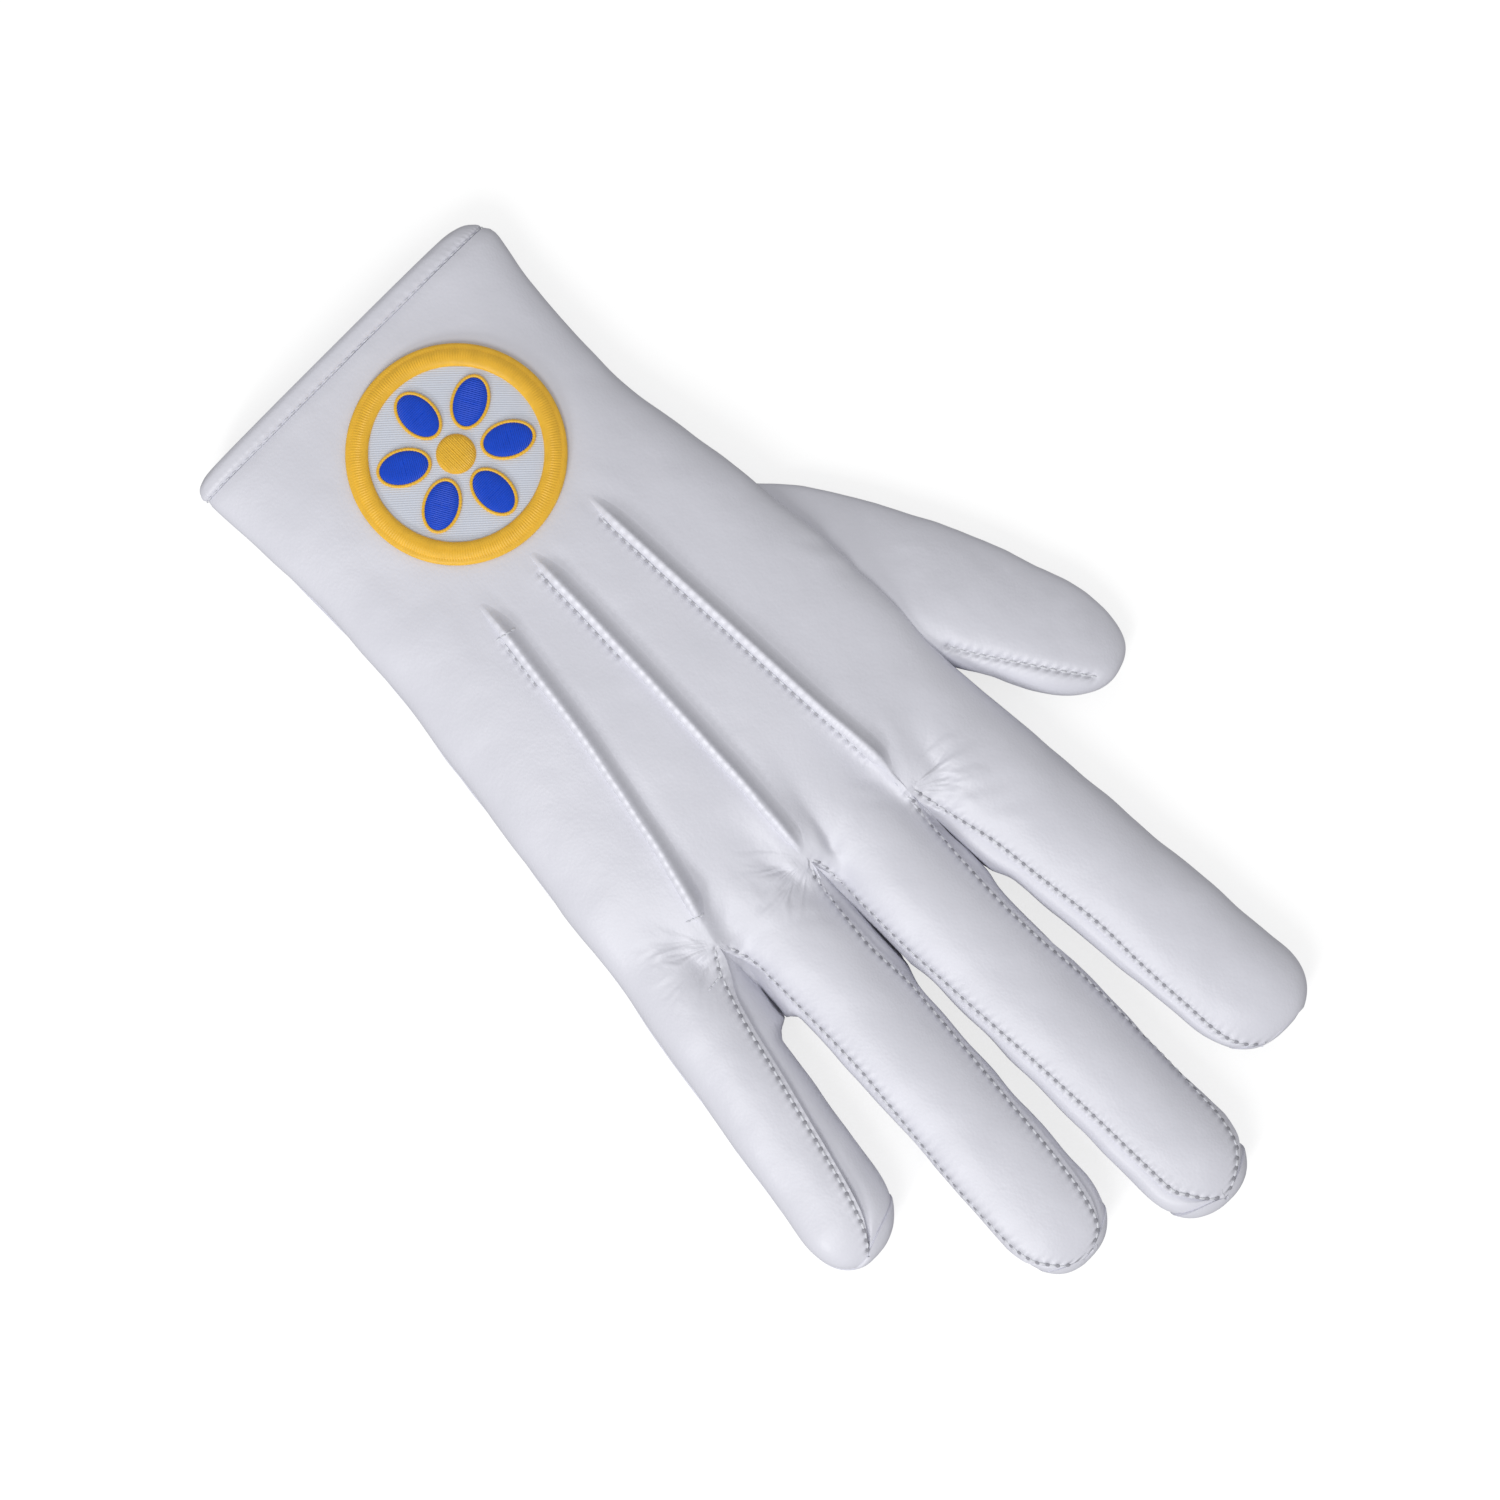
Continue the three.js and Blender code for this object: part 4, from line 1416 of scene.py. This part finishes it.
def sew(thread, hole_shades, tree, row, above=True):
    """Sews a row, given as (y, x), on a piece: one stitch between each two needle holes."""
    places = row_lengths(tuple(row))
    target = STITCH_PITCH / 2
    for (y0, walked0), (y1, walked1) in zip(places, places[1:]):
        while walked0 <= target < walked1:
            y = mix(y0, y1, (target - walked0) / (walked1 - walked0))
            along = Vector((curve_value(row, y1) - curve_value(row, y0), y1 - y0, 0))
            found = ground(tree, curve_value(row, y), y, above)
            if found is not None:
                stitch_at(thread, hole_shades, *found, along, STITCH_PITCH)
            target += STITCH_PITCH


def sewn_rows(name, tree, rows, hole_shade_finish=None, above=True):
    """All the stitches of some rows, and dark discs of painted shade at their needle holes where these
    have a finish.
    """
    thread = bmesh.new()
    hole_shades = bmesh.new() if hole_shade_finish else None
    for row in rows:
        sew(thread, hole_shades, tree, row, above)
    keep(finish(thread, name + "_stitches", WHITE_THREAD), None)
    if hole_shades is not None:
        keep(finish(hole_shades, name + "_needle_hole_shades", hole_shade_finish), None)


def sew_hem():
    """A fine row in the groove beside the hem, evenly spaced all the way round."""
    thread = bmesh.new()
    steps = 1440
    places = [hand_point(HEM_ROW, 2 * math.pi * i / steps, HEM_ROW_HEIGHT) for i in range(steps + 1)]
    whole = sum((b - a).length for a, b in zip(places, places[1:]))
    pitch = whole / HEM_STITCHES
    walked, target = 0.0, pitch / 2
    for a, b in zip(places, places[1:]):
        step = (b - a).length
        if walked <= target < walked + step:
            spot = a.lerp(b, (target - walked) / step)
            spot.z = max(spot.z, 0.2)
            outward = (b - a).cross(Vector((0, 1, 0))).normalized()
            if outward.dot(spot - Vector((0, HEM_ROW, SIDE_LEVEL))) < 0:
                outward = -outward
            stitch_at(thread, None, spot, outward, b - a, pitch, HEM_THICKNESS)
            target += pitch
        walked += step
    keep(finish(thread, "hem_stitches", WHITE_THREAD), None)


# Short bars that fasten a row's end, as (x, y) to (x, y)
BARS = [(14.0, 68.6, 18.6, 67.6), (28.2, 138.0, 32.2, 136.6), (34.6, 149.4, 38.8, 149.9)]


def sew_bars():
    thread = bmesh.new()
    trees = [BACK_TREE, *RIDGE_TREES]
    for x0, y0, x1, y1 in BARS:
        along = Vector((x1 - x0, y1 - y0, 0))
        for i in range(4):
            x, y = mix(x0, x1, (i + 0.5) / 4), mix(y0, y1, (i + 0.5) / 4)
            found = [hit for hit in (ground(tree, x, y) for tree in trees) if hit is not None]
            spot, normal = max(found, key=lambda hit: hit[0].z)
            stitch_at(thread, None, spot, normal, along, along.length / 2.4, BAR_THICKNESS)
    keep(finish(thread, "bar_stitches", WHITE_THREAD), None)


sew_hem()
sew_bars()
sewn_rows("thumb", THUMB_TREE, [THUMB_ROW])
sewn_rows("finger", BACK_TREE, FINGER_ROWS, NEEDLE_HOLE_SHADE)
sewn_rows("point", BACK_TREE, POINT_ROWS, FAINT_HOLE_SHADE)
sewn_rows("palm", PALM_TREE, PALM_ROWS, NEEDLE_HOLE_SHADE, False)


# Floor, light and camera
def pale_floor():
    bm = bmesh.new()
    bmesh.ops.create_grid(bm, x_segments=1, y_segments=1, size=6.0)
    bmesh.ops.translate(bm, verts=bm.verts, vec=(0, 0, -0.0002))
    mesh = bpy.data.meshes.new("floor")
    bm.to_mesh(mesh)
    bm.free()
    floor = bpy.data.objects.new("floor", mesh)
    SCENE.collection.objects.link(floor)
    material, shader = new_material("pale_floor", (0.38, 0.38, 0.38), 0.9)
    shader.inputs["Emission Color"].default_value = (1.0, 1.0, 1.0, 1.0)
    path = material.node_tree.nodes.new("ShaderNodeLightPath")
    glow = math_node(material.node_tree, "MULTIPLY", path.outputs["Is Camera Ray"], 0.75)
    material.node_tree.links.new(glow, shader.inputs["Emission Strength"])
    mesh.materials.append(material)


def area_light(name, energy, size, location):
    """A soft lamp that looks at the middle of the glove."""
    light = bpy.data.lights.new(name, "AREA")
    light.energy = energy
    light.size = size
    lamp = bpy.data.objects.new(name, light)
    lamp.location = location
    lamp.rotation_euler = (-Vector(location)).to_track_quat("-Z", "Y").to_euler()
    SCENE.collection.objects.link(lamp)


pale_floor()
area_light("key", 7.5, 0.3, (1.45, 0.45, 0.81))
area_light("fill", 8.0, 0.6, (0.88, 0.33, 1.44))
world = bpy.data.worlds.new("studio")
world.use_nodes = True
background = world.node_tree.nodes["Background"]
background.inputs["Color"].default_value = (1.0, 1.0, 1.0, 1.0)
background.inputs["Strength"].default_value = 0.51
SCENE.world = world
SCENE.view_settings.view_transform = "Standard"

CAMERA_HEIGHT = 1.4
VIEW_WIDTH = 0.315
camera = bpy.data.cameras.new("camera")
camera.sensor_width = 36.0
camera.lens = 36.0 * CAMERA_HEIGHT / VIEW_WIDTH
camera_object = bpy.data.objects.new("camera", camera)
view_x, view_y = place((-2.5, 120.7, 0))[:2]
camera_object.location = (view_x, view_y, CAMERA_HEIGHT)
camera_object.rotation_euler = (0, 0, math.radians(135))
SCENE.collection.objects.link(camera_object)
SCENE.camera = camera_object
